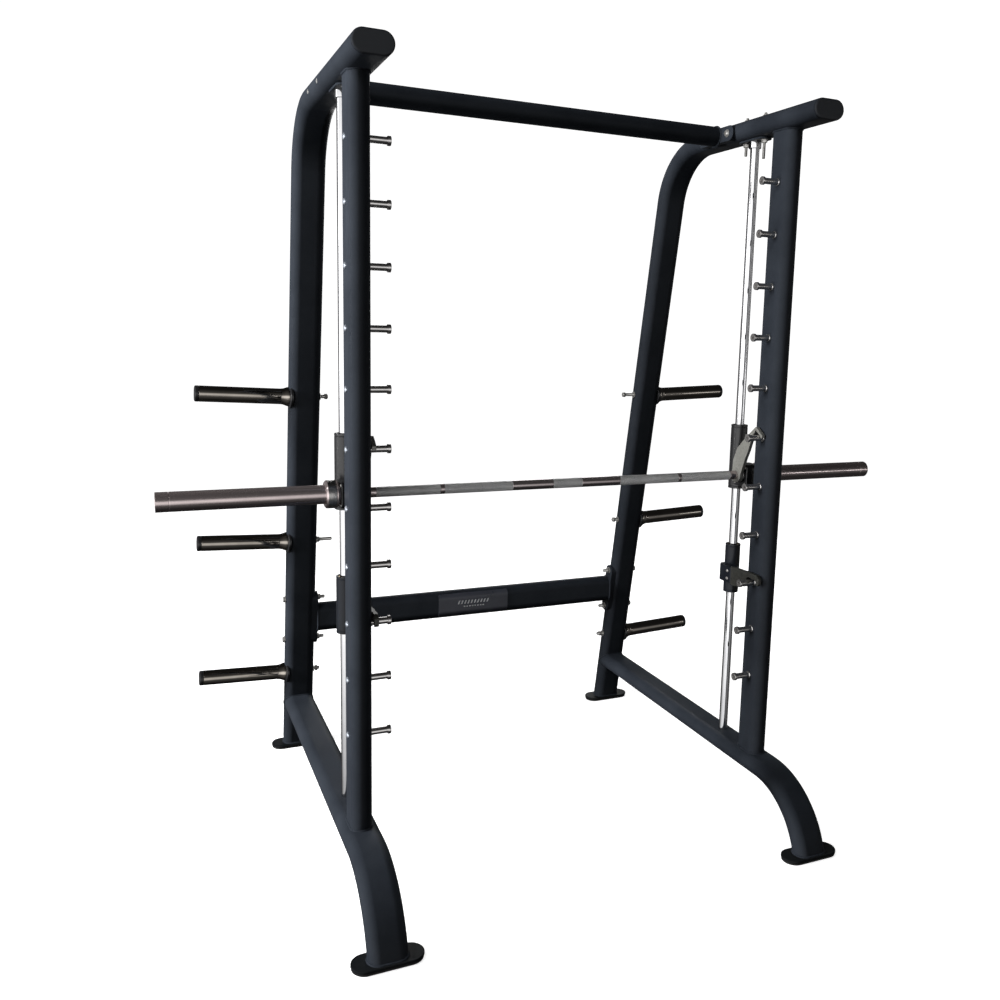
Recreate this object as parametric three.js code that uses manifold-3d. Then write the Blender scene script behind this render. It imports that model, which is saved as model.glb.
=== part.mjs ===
// Smith machine: two side frames of flat oval tube, two crossbars, a barbell that runs on
// two vertical guide rods, hooks that latch the bar on a ladder of studs, two safety catches
// and six plate storage pegs. Millimetres; X across, Y from front to back, Z up.

import * as THREE from 'three';
import { mergeVertices } from 'three/addons/utils/BufferGeometryUtils.js';
import Module from 'manifold-3d';

const wasm = await Module();
wasm.setup();

// ---- Driving dimensions ---------------------------------------------------------------

const GAP = 0.3;                    // between pieces that touch
const BOLT_CLEARANCE = 0.4;         // radial, between a bolt and its hole
const RUNNING_CLEARANCE = 0.5;      // radial, between a shaft and what turns or slides on it

const TUBE = { wide: 100, thick: 56, wall: 3 };   // flat oval tube of the side frames
const SIDE_X = 630;                 // middle plane of each side frame
const INNER_X = SIDE_X - TUBE.wide / 2;           // inner edge of the rails and rear uprights
const OUTER_X = SIDE_X + TUBE.wide / 2;

const TOP_RAIL_Z = 2129;            // middle of the top rail
const TOP_RAIL_FRONT_Y = -528;
const END_CAP = { face: 6, spigot: 14, slack: 0.5 };
const BASE_RAIL_Z = 178;            // middle of the base rail
const RAIL_UNDERSIDE_Z = TOP_RAIL_Z - TUBE.thick / 2;
const RAIL_TOP_Z = TOP_RAIL_Z + TUBE.thick / 2;
const BASE_TOP_Z = BASE_RAIL_Z + TUBE.thick / 2;

const FRONT_UPRIGHT_Y = -350;
const REAR_Y_AT_1000 = 469;         // middle of the rear upright at a height of 1000
const REAR_LEAN = 0.185;            // how far the rear upright comes forward per unit of height
const REAR_LEAN_ANGLE = Math.atan(REAR_LEAN);
const TOP_BEND_RADIUS = 204;
const LEG_BEND_RADIUS = 231;
const LEG_BEND_ANGLE = THREE.MathUtils.degToRad(73.6);

const FOOT = { length: 180, width: 72, thick: 14, y: 650 };

const TOP_CROSSBAR = { y: -60, z: 2126, radius: 30, wall: 3 };
const TOP_FLANGE = { length: 190, height: 46, boltReach: 64 };
const REAR_CROSSBAR_Z = 497;
const REAR_FLANGE = { length: 194, width: 48, boltReach: 77 };
const FLANGE = { thick: 8, wrap: 12, bore: 24 };  // end flanges that hug the round tube edge
const FRAME_BOLT = { radius: 6, tail: 1.5, headRadius: 10, headHeight: 7, nutHeight: 9 };

const NAME_PLATE = { length: 270, halfHeight: 42, thick: 1.5 };

const ROD = { y: -192, radius: 14, sunk: 20 };
const ROD_MOUNT = { length: 130, width: 48, thick: 6, collarRadius: 19, collarDepth: 20 };
const ROD_BOLT = { radius: 5, reach: 46, frontTail: 62, rearTail: 42, nutRadius: 9, nutHeight: 9, above: 16 };

const STUD_COUNT = 11;
const STUD_PITCH = 150;
const STUD_TOP_Z = 1955;
const STUD = { shank: 5, radius: 9, head: 12, headThick: 8, length: 56, tail: 5 };

const BAR = { y: -246, z: 1076, radius: 14, halfLength: 1096 };
const SLEEVE = { start: 657, flange: 661, shoulder: 693, end: 1100, hub: 31, collar: 37, radius: 25 };
const CHAMFER = 2;
const COLLAR_CHAMFER = 4;

const HOOK_PLATE = { inner: 586, outer: 598 };    // the plates of the hooks, along X
const BAR_HOOK_HUB = 24;
const BAR_STUD_RISE = 129;          // height of the stud that the hook lies on, above the bar
const BAR_STUD_DISTANCE = Math.hypot(BAR.y - FRONT_UPRIGHT_Y, BAR_STUD_RISE);

const CARRIAGE = { bottom: 1025, top: 1229, radius: 26, bore: 20.3 };
const CARRIAGE_BLOCK = { front: -280, bottom: 1040, top: 1110, corner: 14 };
const CATCH = { bottom: 682, top: 841, radius: 24, bore: 19.3, blockBottom: 725, blockTop: 778 };

const PEG_HEIGHTS = { upper: 1279, middle: 786, lower: 297 };
const PEG = { radius: 25, wall: 3, length: 282, flange: 38, rim: 5, cone: 21 };
// Each peg's bolt: how far it stands out of the inner side of its upright, and the gap from
// the upright to its nut.
const PEG_BOLTS = {
  left: { upper: { tail: 26, gap: 15 }, middle: { tail: 52, gap: 0 }, lower: { tail: 22, gap: 6 } },
  right: { upper: { tail: 48, gap: 37 }, middle: { tail: 24, gap: 12 }, lower: { tail: 26, gap: 8 } },
};
const PEG_TILT = THREE.MathUtils.degToRad(2.4);

const ARC_SEGMENTS = 4;             // curve divisions; a half circle takes twice as many edges
const BOLT_SIDES = 8;
const ROUND_SIDES = 16;
const BEND_STEP = THREE.MathUtils.degToRad(13);

const SIDES = [{ name: 'left', sign: -1 }, { name: 'right', sign: 1 }];

// ---- Materials ------------------------------------------------------------------------

const COLOURS = {
  frame: { color: 0x26292c, roughness: 0.55, metalness: 0.3 },
  foot: { color: 0x0d0d0e, roughness: 0.6, metalness: 0.0 },
  cap: { color: 0x15171a, roughness: 0.5, metalness: 0.0 },
  black: { color: 0x121214, roughness: 0.4, metalness: 0.2 },
  chrome: { color: 0xd0d2d4, roughness: 0.12, metalness: 1.0 },
  darkChrome: { color: 0x4a4540, roughness: 0.15, metalness: 1.0 },
  steel: { color: 0x8c8c84, roughness: 0.45, metalness: 0.9 },
  bronze: { color: 0xa8824a, roughness: 0.4, metalness: 0.8 },
  plate: { color: 0x34373d, roughness: 0.35, metalness: 0.4 },
};

// ---- Solids ---------------------------------------------------------------------------

const MERGE_DISTANCE = 1e-4;

function isFacingOut(geometry) {
  const position = geometry.attributes.position;
  const index = geometry.index;
  const corners = [new THREE.Vector3(), new THREE.Vector3(), new THREE.Vector3()];
  let volume = 0;
  for (let start = 0; start < index.count; start += 3) {
    corners.forEach((corner, offset) => corner.fromBufferAttribute(position, index.getX(start + offset)));
    volume += corners[0].dot(corners[1].clone().cross(corners[2]));
  }
  return volume > 0;
}

function turnInsideOut(geometry) {
  const index = geometry.index;
  for (let start = 0; start < index.count; start += 3) {
    const second = index.getX(start + 1);
    index.setX(start + 1, index.getX(start + 2));
    index.setX(start + 2, second);
  }
}

// One closed geometry with shared vertices and its faces pointing out.
function closed(geometry) {
  const bare = geometry.clone();
  bare.deleteAttribute('normal');
  bare.deleteAttribute('uv');
  const merged = mergeVertices(bare, MERGE_DISTANCE);
  if (!isFacingOut(merged)) turnInsideOut(merged);
  merged.computeVertexNormals();
  return merged;
}

function toSolid(geometry) {
  const merged = closed(geometry);
  return new wasm.Manifold(new wasm.Mesh({
    numProp: 3,
    vertProperties: new Float32Array(merged.attributes.position.array),
    triVerts: new Uint32Array(merged.index.array),
  }));
}

function toGeometry(solid) {
  const { vertProperties, triVerts } = solid.getMesh();
  const geometry = new THREE.BufferGeometry();
  geometry.setAttribute('position', new THREE.BufferAttribute(vertProperties, 3));
  geometry.setIndex(new THREE.BufferAttribute(triVerts, 1));
  geometry.computeVertexNormals();
  return geometry;
}

function join(...geometries) {
  return toGeometry(geometries.map(toSolid).reduce((whole, piece) => whole.add(piece)));
}

function cut(geometry, ...tools) {
  return toGeometry(tools.map(toSolid).reduce((rest, tool) => rest.subtract(tool), toSolid(geometry)));
}

// ---- Profiles -------------------------------------------------------------------------

function tracesOval(path, wide, thick) {
  const radius = thick / 2;
  const reach = wide / 2 - radius;
  path.absarc(reach, 0, radius, -Math.PI / 2, Math.PI / 2, false);
  path.absarc(-reach, 0, radius, Math.PI / 2, Math.PI * 1.5, false);
  path.closePath();
  return path;
}

// A flat oval, long side along the shape's x.
function oval(wide, thick) {
  return tracesOval(new THREE.Shape(), wide, thick);
}

function hollowOval({ wide, thick, wall }) {
  const shape = oval(wide, thick);
  shape.holes.push(tracesOval(new THREE.Path(), wide - 2 * wall, thick - 2 * wall));
  return shape;
}

function polygon(points) {
  return new THREE.Shape(points.map(([x, y]) => new THREE.Vector2(x, y)));
}

function roundedBox(left, bottom, right, top, radius) {
  const shape = new THREE.Shape();
  shape.absarc(right - radius, bottom + radius, radius, -Math.PI / 2, 0, false);
  shape.absarc(right - radius, top - radius, radius, 0, Math.PI / 2, false);
  shape.absarc(left + radius, top - radius, radius, Math.PI / 2, Math.PI, false);
  shape.absarc(left + radius, bottom + radius, radius, Math.PI, Math.PI * 1.5, false);
  shape.closePath();
  return shape;
}

// ---- Basic forms ----------------------------------------------------------------------

function extrude(shape, depth) {
  return new THREE.ExtrudeGeometry(shape, { depth, bevelEnabled: false, curveSegments: ARC_SEGMENTS });
}

// A shape drawn with its x along Y and its y along Z, and given a thickness from x0 to x1.
function sidePlate(shape, x0, x1) {
  return extrude(shape, x1 - x0)
    .rotateX(Math.PI / 2)
    .rotateZ(Math.PI / 2)
    .translate(x0, 0, 0);
}

function turned(profile, sides) {
  return new THREE.LatheGeometry(profile.map(([r, a]) => new THREE.Vector2(r, a)), sides);
}

// A turned form whose axis runs along +X, or along +Z.
const turnedAlongX = (profile, sides = ROUND_SIDES) => turned(profile, sides).rotateZ(-Math.PI / 2);
const turnedAlongZ = (profile, sides = ROUND_SIDES) => turned(profile, sides).rotateX(Math.PI / 2);

const rodProfile = (radius, from, to) => [[0, from], [radius, from], [radius, to], [0, to]];
const pipeProfile = (inner, outer, from, to) =>
  [[inner, from], [outer, from], [outer, to], [inner, to], [inner, from]];

function block(x0, x1, y0, y1, z0, z1) {
  return new THREE.BoxGeometry(x1 - x0, y1 - y0, z1 - z0)
    .translate((x0 + x1) / 2, (y0 + y1) / 2, (z0 + z1) / 2);
}

// A path with one station at each end of a straight run and one every few degrees of a bend.
class StationPath extends THREE.Curve {
  constructor(stations) {
    super();
    this.stations = stations;
  }

  stationAt(fraction) {
    return this.stations[Math.round(fraction * (this.stations.length - 1))];
  }

  getPoint(fraction, target = new THREE.Vector3()) {
    return target.copy(this.stationAt(fraction).point);
  }

  getPointAt(fraction, target) {
    return this.getPoint(fraction, target);
  }

  getTangentAt(fraction, target = new THREE.Vector3()) {
    return target.copy(this.stationAt(fraction).tangent);
  }
}

// A station in the plane of a side frame; angle is measured from +Y towards +Z.
function station(y, z, angle) {
  return {
    point: new THREE.Vector3(0, y, z),
    tangent: new THREE.Vector3(0, Math.cos(angle), Math.sin(angle)),
  };
}

// The stations round a bend that starts at y, z in the direction startAngle and turns by turn.
function bend(y, z, startAngle, turn, radius) {
  const count = Math.ceil(Math.abs(turn) / BEND_STEP);
  const towardsCentre = startAngle + Math.sign(turn) * Math.PI / 2;
  const centreY = y + radius * Math.cos(towardsCentre);
  const centreZ = z + radius * Math.sin(towardsCentre);
  return Array.from({ length: count + 1 }, (_, step) => {
    const turnedBy = turn * step / count;
    const outward = towardsCentre + Math.PI + turnedBy;
    return station(
      centreY + radius * Math.cos(outward),
      centreZ + radius * Math.sin(outward),
      startAngle + turnedBy,
    );
  });
}

function sweep(shape, stations) {
  return new THREE.ExtrudeGeometry(shape, {
    extrudePath: new StationPath(stations),
    steps: stations.length - 1,
    bevelEnabled: false,
    curveSegments: ARC_SEGMENTS,
  });
}

function ahead(from, distance) {
  const point = from.point.clone().addScaledVector(from.tangent, distance);
  return { point, tangent: from.tangent.clone() };
}

// ---- Side frames ----------------------------------------------------------------------

const rearUprightY = (z) => REAR_Y_AT_1000 - REAR_LEAN * (z - 1000);

const belowFloorTop = () => block(-200, 200, -900, 900, -200, FOOT.thick + GAP);

function boltHoleAlongX(radius, y, z) {
  const reach = TUBE.wide;
  return turnedAlongX(rodProfile(radius + BOLT_CLEARANCE, -reach, reach), BOLT_SIDES).translate(0, y, z);
}

function boltHoleAlongZ(radius, y, z) {
  const reach = TUBE.thick;
  return turnedAlongZ(rodProfile(radius + BOLT_CLEARANCE, -reach, reach), BOLT_SIDES).translate(0, y, z);
}

function rearFlangeBoltPlaces() {
  return [-1, 1].map((end) => {
    const z = REAR_CROSSBAR_Z + end * REAR_FLANGE.boltReach * Math.cos(REAR_LEAN_ANGLE);
    return { y: rearUprightY(z), z };
  });
}

function topFlangeBoltPlaces() {
  return [-1, 1].map((end) => ({ y: TOP_CROSSBAR.y + end * TOP_FLANGE.boltReach, z: TOP_CROSSBAR.z }));
}

// The rear upright, the bend and the top rail are one bent tube.
function rearFrameStations() {
  const upAngle = Math.PI / 2 + REAR_LEAN_ANGLE;
  const turn = Math.PI - upAngle;
  const tangentLength = TOP_BEND_RADIUS * Math.tan(turn / 2);
  const bendStartZ = TOP_RAIL_Z - tangentLength * Math.cos(REAR_LEAN_ANGLE);
  const belowFloor = -40;
  return [
    station(rearUprightY(belowFloor), belowFloor, upAngle),
    ...bend(rearUprightY(bendStartZ), bendStartZ, upAngle, turn, TOP_BEND_RADIUS),
    station(TOP_RAIL_FRONT_Y + END_CAP.face + GAP, TOP_RAIL_Z, Math.PI),
  ];
}

function rearFrame() {
  const holes = [
    ...rearFlangeBoltPlaces().map(({ y, z }) => boltHoleAlongX(FRAME_BOLT.radius, y, z)),
    ...topFlangeBoltPlaces().map(({ y, z }) => boltHoleAlongX(FRAME_BOLT.radius, y, z)),
    ...Object.values(PEG_HEIGHTS).map((z) => boltHoleAlongX(FRAME_BOLT.radius, rearUprightY(z), z)),
    ...[-1, 1].map((end) => boltHoleAlongZ(ROD_BOLT.radius, ROD.y + end * ROD_BOLT.reach, TOP_RAIL_Z)),
  ];
  return cut(sweep(hollowOval(TUBE), rearFrameStations()), belowFloorTop(), ...holes);
}

// The solid space that a straight run of rear upright takes up, with the touching gap around it.
function rearUprightSpace(fromZ, toZ) {
  const angle = Math.PI / 2 + REAR_LEAN_ANGLE;
  const shape = oval(TUBE.wide + 2 * GAP, TUBE.thick + 2 * GAP);
  return sweep(shape, [station(rearUprightY(fromZ), fromZ, angle), station(rearUprightY(toZ), toZ, angle)]);
}

function topRailSpace() {
  const shape = oval(TUBE.wide + 2 * GAP, TUBE.thick + 2 * GAP);
  return sweep(shape, [station(200, TOP_RAIL_Z, Math.PI), station(-400, TOP_RAIL_Z, Math.PI)]);
}

// The base rail runs forward from the rear upright and bends down to the front foot.
function baseRail() {
  const forward = Math.PI;
  const bendStartY = -FOOT.y + LEG_BEND_RADIUS * Math.sin(LEG_BEND_ANGLE);
  const leg = bend(bendStartY, BASE_RAIL_Z, forward, LEG_BEND_ANGLE, LEG_BEND_RADIUS);
  const stations = [
    station(rearUprightY(BASE_RAIL_Z), BASE_RAIL_Z, forward),
    ...leg,
    ahead(leg[leg.length - 1], 40),
  ];
  const rodHole = turnedAlongZ(rodProfile(ROD.radius + BOLT_CLEARANCE, BASE_RAIL_Z, BASE_TOP_Z + 10))
    .translate(0, ROD.y, 0);
  return cut(sweep(hollowOval(TUBE), stations), belowFloorTop(), rearUprightSpace(0, 400), rodHole);
}

function studHeights() {
  return Array.from({ length: STUD_COUNT }, (_, step) => STUD_TOP_Z - step * STUD_PITCH);
}

function frontUpright() {
  const bottom = BASE_TOP_Z + GAP;
  const height = RAIL_UNDERSIDE_Z - GAP - bottom;
  const tube = extrude(hollowOval(TUBE), height)
    .rotateZ(Math.PI / 2)
    .translate(0, FRONT_UPRIGHT_Y, bottom);
  return cut(tube, ...studHeights().map((z) => boltHoleAlongX(STUD.shank, FRONT_UPRIGHT_Y, z)));
}

// A latch stud: a shank through the upright, a bearing length and a head towards the middle.
function hookStud(sign) {
  const face = TUBE.thick / 2;
  const profile = [
    [0, -face - STUD.tail],
    [STUD.shank, -face - STUD.tail],
    [STUD.shank, face + GAP],
    [STUD.radius, face + GAP],
    [STUD.radius, face + STUD.length - STUD.headThick],
    [STUD.head, face + STUD.length - STUD.headThick],
    [STUD.head, face + STUD.length],
    [0, face + STUD.length],
  ];
  return turnedAlongX(profile, BOLT_SIDES).rotateZ(sign > 0 ? Math.PI : 0);
}

function footPlate() {
  return extrude(oval(FOOT.length, FOOT.width), FOOT.thick);
}

// A plug for the front end of the top rail, drawn with its face towards -Y.
function endCap() {
  const inner = 2 * (TUBE.wall + END_CAP.slack);
  const face = extrude(oval(TUBE.wide, TUBE.thick), END_CAP.face);
  const spigot = extrude(oval(TUBE.wide - inner, TUBE.thick - inner), END_CAP.face + END_CAP.spigot);
  return join(face, spigot).rotateX(-Math.PI / 2);
}

// ---- Crossbars ------------------------------------------------------------------------

// An end flange on the inner side of the right-hand frame, before it is fitted to the tube.
function flangeBlank(shape, y, z, tilt) {
  return sidePlate(shape, INNER_X - FLANGE.thick, INNER_X + FLANGE.wrap)
    .rotateX(tilt)
    .translate(0, y, z);
}

// A bolt across the right-hand frame, with a hexagon on the flange.
function frameBolt(y, z) {
  const face = INNER_X - FLANGE.thick;
  const shank = turnedAlongX(rodProfile(FRAME_BOLT.radius, face + 1, OUTER_X + FRAME_BOLT.tail), BOLT_SIDES);
  const head = turnedAlongX(rodProfile(FRAME_BOLT.headRadius, face - FRAME_BOLT.headHeight, face + 2), 6);
  return [shank.translate(0, y, z), head.translate(0, y, z)];
}

// The head that a rear crossbar bolt has on the outer side of the frame.
function outerHead(y, z) {
  const from = OUTER_X + GAP;
  const head = turnedAlongX(rodProfile(FRAME_BOLT.headRadius, from, from + FRAME_BOLT.headHeight), 6);
  return head.translate(0, y, z);
}

function flangeBore(y, z) {
  return turnedAlongX(rodProfile(FLANGE.bore, INNER_X - 60, INNER_X + 60)).translate(0, y, z);
}

// Mirrors a piece made at the right-hand end, by a half turn about the vertical through y.
function bothEnds(geometry, y) {
  return [geometry, geometry.clone().translate(0, -y, 0).rotateZ(Math.PI).translate(0, y, 0)];
}

function topCrossbar() {
  const { y, z, radius, wall } = TOP_CROSSBAR;
  const tubeEnd = INNER_X - FLANGE.thick + 2;
  const tube = turnedAlongX(pipeProfile(radius - wall, radius, -tubeEnd, tubeEnd)).translate(0, y, z);
  const blank = flangeBlank(oval(TOP_FLANGE.length, TOP_FLANGE.height), y, z, 0);
  const flange = cut(blank, topRailSpace().translate(SIDE_X, 0, 0), flangeBore(y, z));
  const bolts = topFlangeBoltPlaces().flatMap((place) => frameBolt(place.y, place.z));
  return join(tube, ...bothEnds(join(flange, ...bolts), y));
}

function rearCrossbar() {
  const z = REAR_CROSSBAR_Z;
  const y = rearUprightY(z);
  const tubeEnd = INNER_X - FLANGE.thick + 2;
  const tube = sidePlate(hollowOval(TUBE), -tubeEnd, tubeEnd).rotateX(Math.PI / 2).translate(0, y, z);
  const blank = flangeBlank(oval(REAR_FLANGE.length, REAR_FLANGE.width), y, z, Math.PI / 2 + REAR_LEAN_ANGLE);
  const flange = cut(blank, rearUprightSpace(200, 800).translate(SIDE_X, 0, 0), flangeBore(y, z));
  const bolts = rearFlangeBoltPlaces().flatMap((place) => [
    ...frameBolt(place.y, place.z),
    outerHead(place.y, place.z),
  ]);
  const rightEnd = join(flange, ...bolts);
  const leftEnd = rightEnd.clone().scale(-1, 1, 1);
  return join(tube, rightEnd, leftEnd);
}

// A thin plate that follows the front of the rear crossbar round its top and bottom edges.
function namePlate() {
  const centre = TUBE.wide / 2 - TUBE.thick / 2;
  const inner = TUBE.thick / 2 + GAP;
  const outer = inner + NAME_PLATE.thick;
  const edgeAngle = Math.asin((NAME_PLATE.halfHeight - centre) / inner);
  const shape = new THREE.Shape();
  shape.absarc(0, centre, outer, Math.PI, Math.PI - edgeAngle, true);
  shape.absarc(0, centre, inner, Math.PI - edgeAngle, Math.PI, false);
  shape.absarc(0, -centre, inner, Math.PI, Math.PI + edgeAngle, false);
  shape.absarc(0, -centre, outer, Math.PI + edgeAngle, Math.PI, true);
  shape.closePath();
  return sidePlate(shape, -NAME_PLATE.length / 2, NAME_PLATE.length / 2);
}

// ---- Guide rods -----------------------------------------------------------------------

function guideRod() {
  return turnedAlongZ(rodProfile(ROD.radius, BASE_TOP_Z - ROD.sunk, RAIL_UNDERSIDE_Z - GAP));
}

function rodBolt(y, tail) {
  const bottom = RAIL_UNDERSIDE_Z - tail;
  const shank = turnedAlongZ(rodProfile(ROD_BOLT.radius, bottom, RAIL_TOP_Z + ROD_BOLT.above), BOLT_SIDES);
  const seat = RAIL_TOP_Z + GAP;
  const nut = turnedAlongZ(rodProfile(ROD_BOLT.nutRadius, seat, seat + ROD_BOLT.nutHeight), 6);
  return [shank.translate(0, y, 0), nut.translate(0, y, 0)];
}

// The mount under the top rail: a plate and a collar round the rod, held by two long bolts.
function rodMount() {
  const top = RAIL_UNDERSIDE_Z - GAP;
  const plate = extrude(oval(ROD_MOUNT.length, ROD_MOUNT.width), ROD_MOUNT.thick)
    .rotateZ(Math.PI / 2)
    .translate(0, 0, top - ROD_MOUNT.thick);
  const collarBottom = top - ROD_MOUNT.thick - ROD_MOUNT.collarDepth;
  const collar = turnedAlongZ(rodProfile(ROD_MOUNT.collarRadius, collarBottom, top - 1));
  const bore = turnedAlongZ(rodProfile(ROD.radius + GAP, collarBottom - 10, top + 10));
  const bolts = [
    ...rodBolt(-ROD_BOLT.reach, ROD_BOLT.frontTail),
    ...rodBolt(ROD_BOLT.reach, ROD_BOLT.rearTail),
  ];
  return cut(join(plate, collar, ...bolts), bore);
}

// ---- Barbell --------------------------------------------------------------------------

function barShaft() {
  const { radius, halfLength } = BAR;
  const profile = [
    [0, -halfLength],
    [radius - CHAMFER, -halfLength],
    [radius, -halfLength + CHAMFER],
    [radius, halfLength - CHAMFER],
    [radius - CHAMFER, halfLength],
    [0, halfLength],
  ];
  return turnedAlongX(profile);
}

// A plate sleeve with its broad chamfered collar, drawn for the right-hand end of the bar.
function barSleeve() {
  const bore = BAR.radius + RUNNING_CLEARANCE;
  return turnedAlongX([
    [bore, SLEEVE.start],
    [SLEEVE.hub, SLEEVE.start],
    [SLEEVE.hub, SLEEVE.flange],
    [SLEEVE.collar, SLEEVE.flange],
    [SLEEVE.collar, SLEEVE.shoulder - COLLAR_CHAMFER],
    [SLEEVE.collar - COLLAR_CHAMFER, SLEEVE.shoulder],
    [SLEEVE.radius, SLEEVE.shoulder],
    [SLEEVE.radius, SLEEVE.end - CHAMFER],
    [SLEEVE.radius - CHAMFER, SLEEVE.end],
    [bore, SLEEVE.end],
    [bore, SLEEVE.start],
  ]);
}

const polar = (radius, degrees) => {
  const angle = THREE.MathUtils.degToRad(degrees);
  return [radius * Math.cos(angle), radius * Math.sin(angle)];
};

// The latch hook: an arm up from the bar and a finger that lies over the stud. The finger is
// an arc about the bar's axis, so that turning the bar draws it off the stud.
function barHook() {
  const fingerInner = BAR_STUD_DISTANCE + STUD.radius + 0.8;
  const fingerOuter = fingerInner + 9;
  const outline = [
    [19, 13],
    [17, 47],
    [-2, 87],
    [-46, 127],
    [-66, 143],
    ...[119, 122, 126, 131.5].map((degrees) => polar(fingerOuter, degrees)),
    ...[133.5, 130, 126, 121].map((degrees) => polar(fingerInner, degrees)),
    [-78, 134],
    [-71, 118],
    [-58, 84],
    [-44, 56],
    [-22, 0],
  ];
  const plate = sidePlate(polygon(outline), HOOK_PLATE.inner, HOOK_PLATE.outer);
  const hub = turnedAlongX(rodProfile(BAR_HOOK_HUB, HOOK_PLATE.inner, HOOK_PLATE.outer));
  const bore = turnedAlongX(rodProfile(BAR.radius + GAP, HOOK_PLATE.inner - 10, HOOK_PLATE.outer + 10));
  return cut(join(plate, hub), bore);
}

// ---- Carriages and catches --------------------------------------------------------------

// The housing that runs on a guide rod and carries the bar in a block in front of it.
function carriage() {
  const { bottom, top, radius, bore } = CARRIAGE;
  const body = turnedAlongZ(rodProfile(radius, bottom, top));
  const { front, corner } = CARRIAGE_BLOCK;
  const shape = roundedBox(front - ROD.y, CARRIAGE_BLOCK.bottom, 10, CARRIAGE_BLOCK.top, corner);
  const carrier = sidePlate(shape, -radius, radius);
  const rodBore = turnedAlongZ(rodProfile(bore, bottom - 10, top + 10));
  const barBore = turnedAlongX(rodProfile(BAR.radius + RUNNING_CLEARANCE, -60, 60))
    .translate(0, BAR.y - ROD.y, BAR.z);
  return cut(join(body, carrier), rodBore, barBore);
}

function bush(housing, inset) {
  const inner = ROD.radius + RUNNING_CLEARANCE;
  const outer = housing.bore - RUNNING_CLEARANCE;
  return turnedAlongZ(pipeProfile(inner, outer, housing.bottom + inset, housing.top - inset));
}

// A safety catch: a sleeve round the rod, a block on its inner side and an arm from the block
// that hooks over a stud. The notch is wide enough for the stud's head, so that the catch can
// be swung off the stud.
function safetyCatch(sign) {
  const sleeve = turnedAlongZ(rodProfile(CATCH.radius, CATCH.bottom, CATCH.top));
  const outline = [
    [-28, 728],
    [-28, 776],
    [-60, 781],
    [-150, 785],
    [-190, 784],
    [-201, 774],
    [-201, 758],
    [-196, 751],
    [-189, 755],
    [-187, 763],
    [-181, 768.5],
    [-146, 768.5],
    [-140, 762],
    [-139, 742],
    [-133, 735],
    [-80, 722],
    [-45, 722],
  ];
  const innerFace = HOOK_PLATE.inner - SIDE_X;
  const outerFace = HOOK_PLATE.outer - SIDE_X;
  const arm = sidePlate(polygon(outline), innerFace, outerFace);
  const plan = [[-46, 0], [-46, -56], [-40, -64], [-26, -64], [-6, -44], [-2, 0], [-16, 14], [-36, 12]];
  const block = extrude(polygon(plan), CATCH.blockTop - CATCH.blockBottom)
    .translate(0, 0, CATCH.blockBottom);
  const bore = turnedAlongZ(rodProfile(CATCH.bore, CATCH.bottom - 10, CATCH.top + 10));
  const rightHand = cut(join(sleeve, block, arm), bore);
  return sign > 0 ? rightHand : rightHand.scale(-1, 1, 1);
}

// ---- Storage pegs -----------------------------------------------------------------------

// A plate storage peg with a conical flange that hugs the round outer edge of the upright,
// and a bolt through the upright with a nut on its inner end.
function storagePeg(z, sign, { tail, gap }) {
  const y = rearUprightY(z);
  const tip = PEG.length;
  const floor = PEG.cone + PEG.wall;
  const profile = [
    [0, -14],
    [PEG.flange, -14],
    [PEG.flange, -14 + PEG.rim],
    [PEG.radius, PEG.cone],
    [PEG.radius, tip - CHAMFER],
    [PEG.radius - CHAMFER, tip],
    [PEG.radius - PEG.wall, tip],
    [PEG.radius - PEG.wall, floor],
    [0, floor],
  ];
  const tube = turnedAlongX(profile, 12).rotateY(-PEG_TILT).translate(TUBE.wide / 2, y, z);
  const space = rearUprightSpace(z - 150, z + 150);
  const face = -TUBE.wide / 2;
  const nutTo = face - Math.max(gap, GAP);
  const bolt = turnedAlongX(rodProfile(FRAME_BOLT.radius, face - tail, TUBE.wide / 2 + 4), BOLT_SIDES);
  const nut = turnedAlongX(rodProfile(FRAME_BOLT.headRadius, nutTo - FRAME_BOLT.nutHeight, nutTo), 6);
  const rightHand = join(cut(tube, space), bolt.translate(0, y, z), nut.translate(0, y, z));
  return sign > 0 ? rightHand : rightHand.scale(-1, 1, 1);
}

// ---- Assembly ---------------------------------------------------------------------------

const machine = new THREE.Group();

function add(parent, name, geometry, colour, x = 0, y = 0, z = 0) {
  const mesh = new THREE.Mesh(closed(geometry), new THREE.MeshStandardMaterial(COLOURS[colour]));
  mesh.name = name;
  mesh.position.set(x, y, z);
  parent.add(mesh);
}

function addSideFrame(parent, side) {
  add(parent, `rear_frame_${side.name}`, rearFrame(), 'frame');
  add(parent, `base_rail_${side.name}`, baseRail(), 'frame');
  add(parent, `front_upright_${side.name}`, frontUpright(), 'frame');
  add(parent, `end_cap_${side.name}`, endCap(), 'cap', 0, TOP_RAIL_FRONT_Y, TOP_RAIL_Z);
  add(parent, `foot_plate_front_${side.name}`, footPlate(), 'foot', 0, -FOOT.y, 0);
  add(parent, `foot_plate_rear_${side.name}`, footPlate(), 'foot', 0, FOOT.y, 0);
  add(parent, `guide_rod_${side.name}`, guideRod(), 'chrome', 0, ROD.y, 0);
  add(parent, `rod_mount_${side.name}`, rodMount(), 'frame', 0, ROD.y, 0);
}

function addStuds(parent, side) {
  studHeights().forEach((z, step) => {
    const number = String(step + 1).padStart(2, '0');
    add(parent, `hook_stud_${side.name}_${number}`, hookStud(side.sign), 'chrome', 0, FRONT_UPRIGHT_Y, z);
  });
}

function addPegs(parent, side) {
  Object.entries(PEG_HEIGHTS).forEach(([level, z]) => {
    const peg = storagePeg(z, side.sign, PEG_BOLTS[side.name][level]);
    add(parent, `storage_peg_${level}_${side.name}`, peg, 'darkChrome');
  });
}

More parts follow.
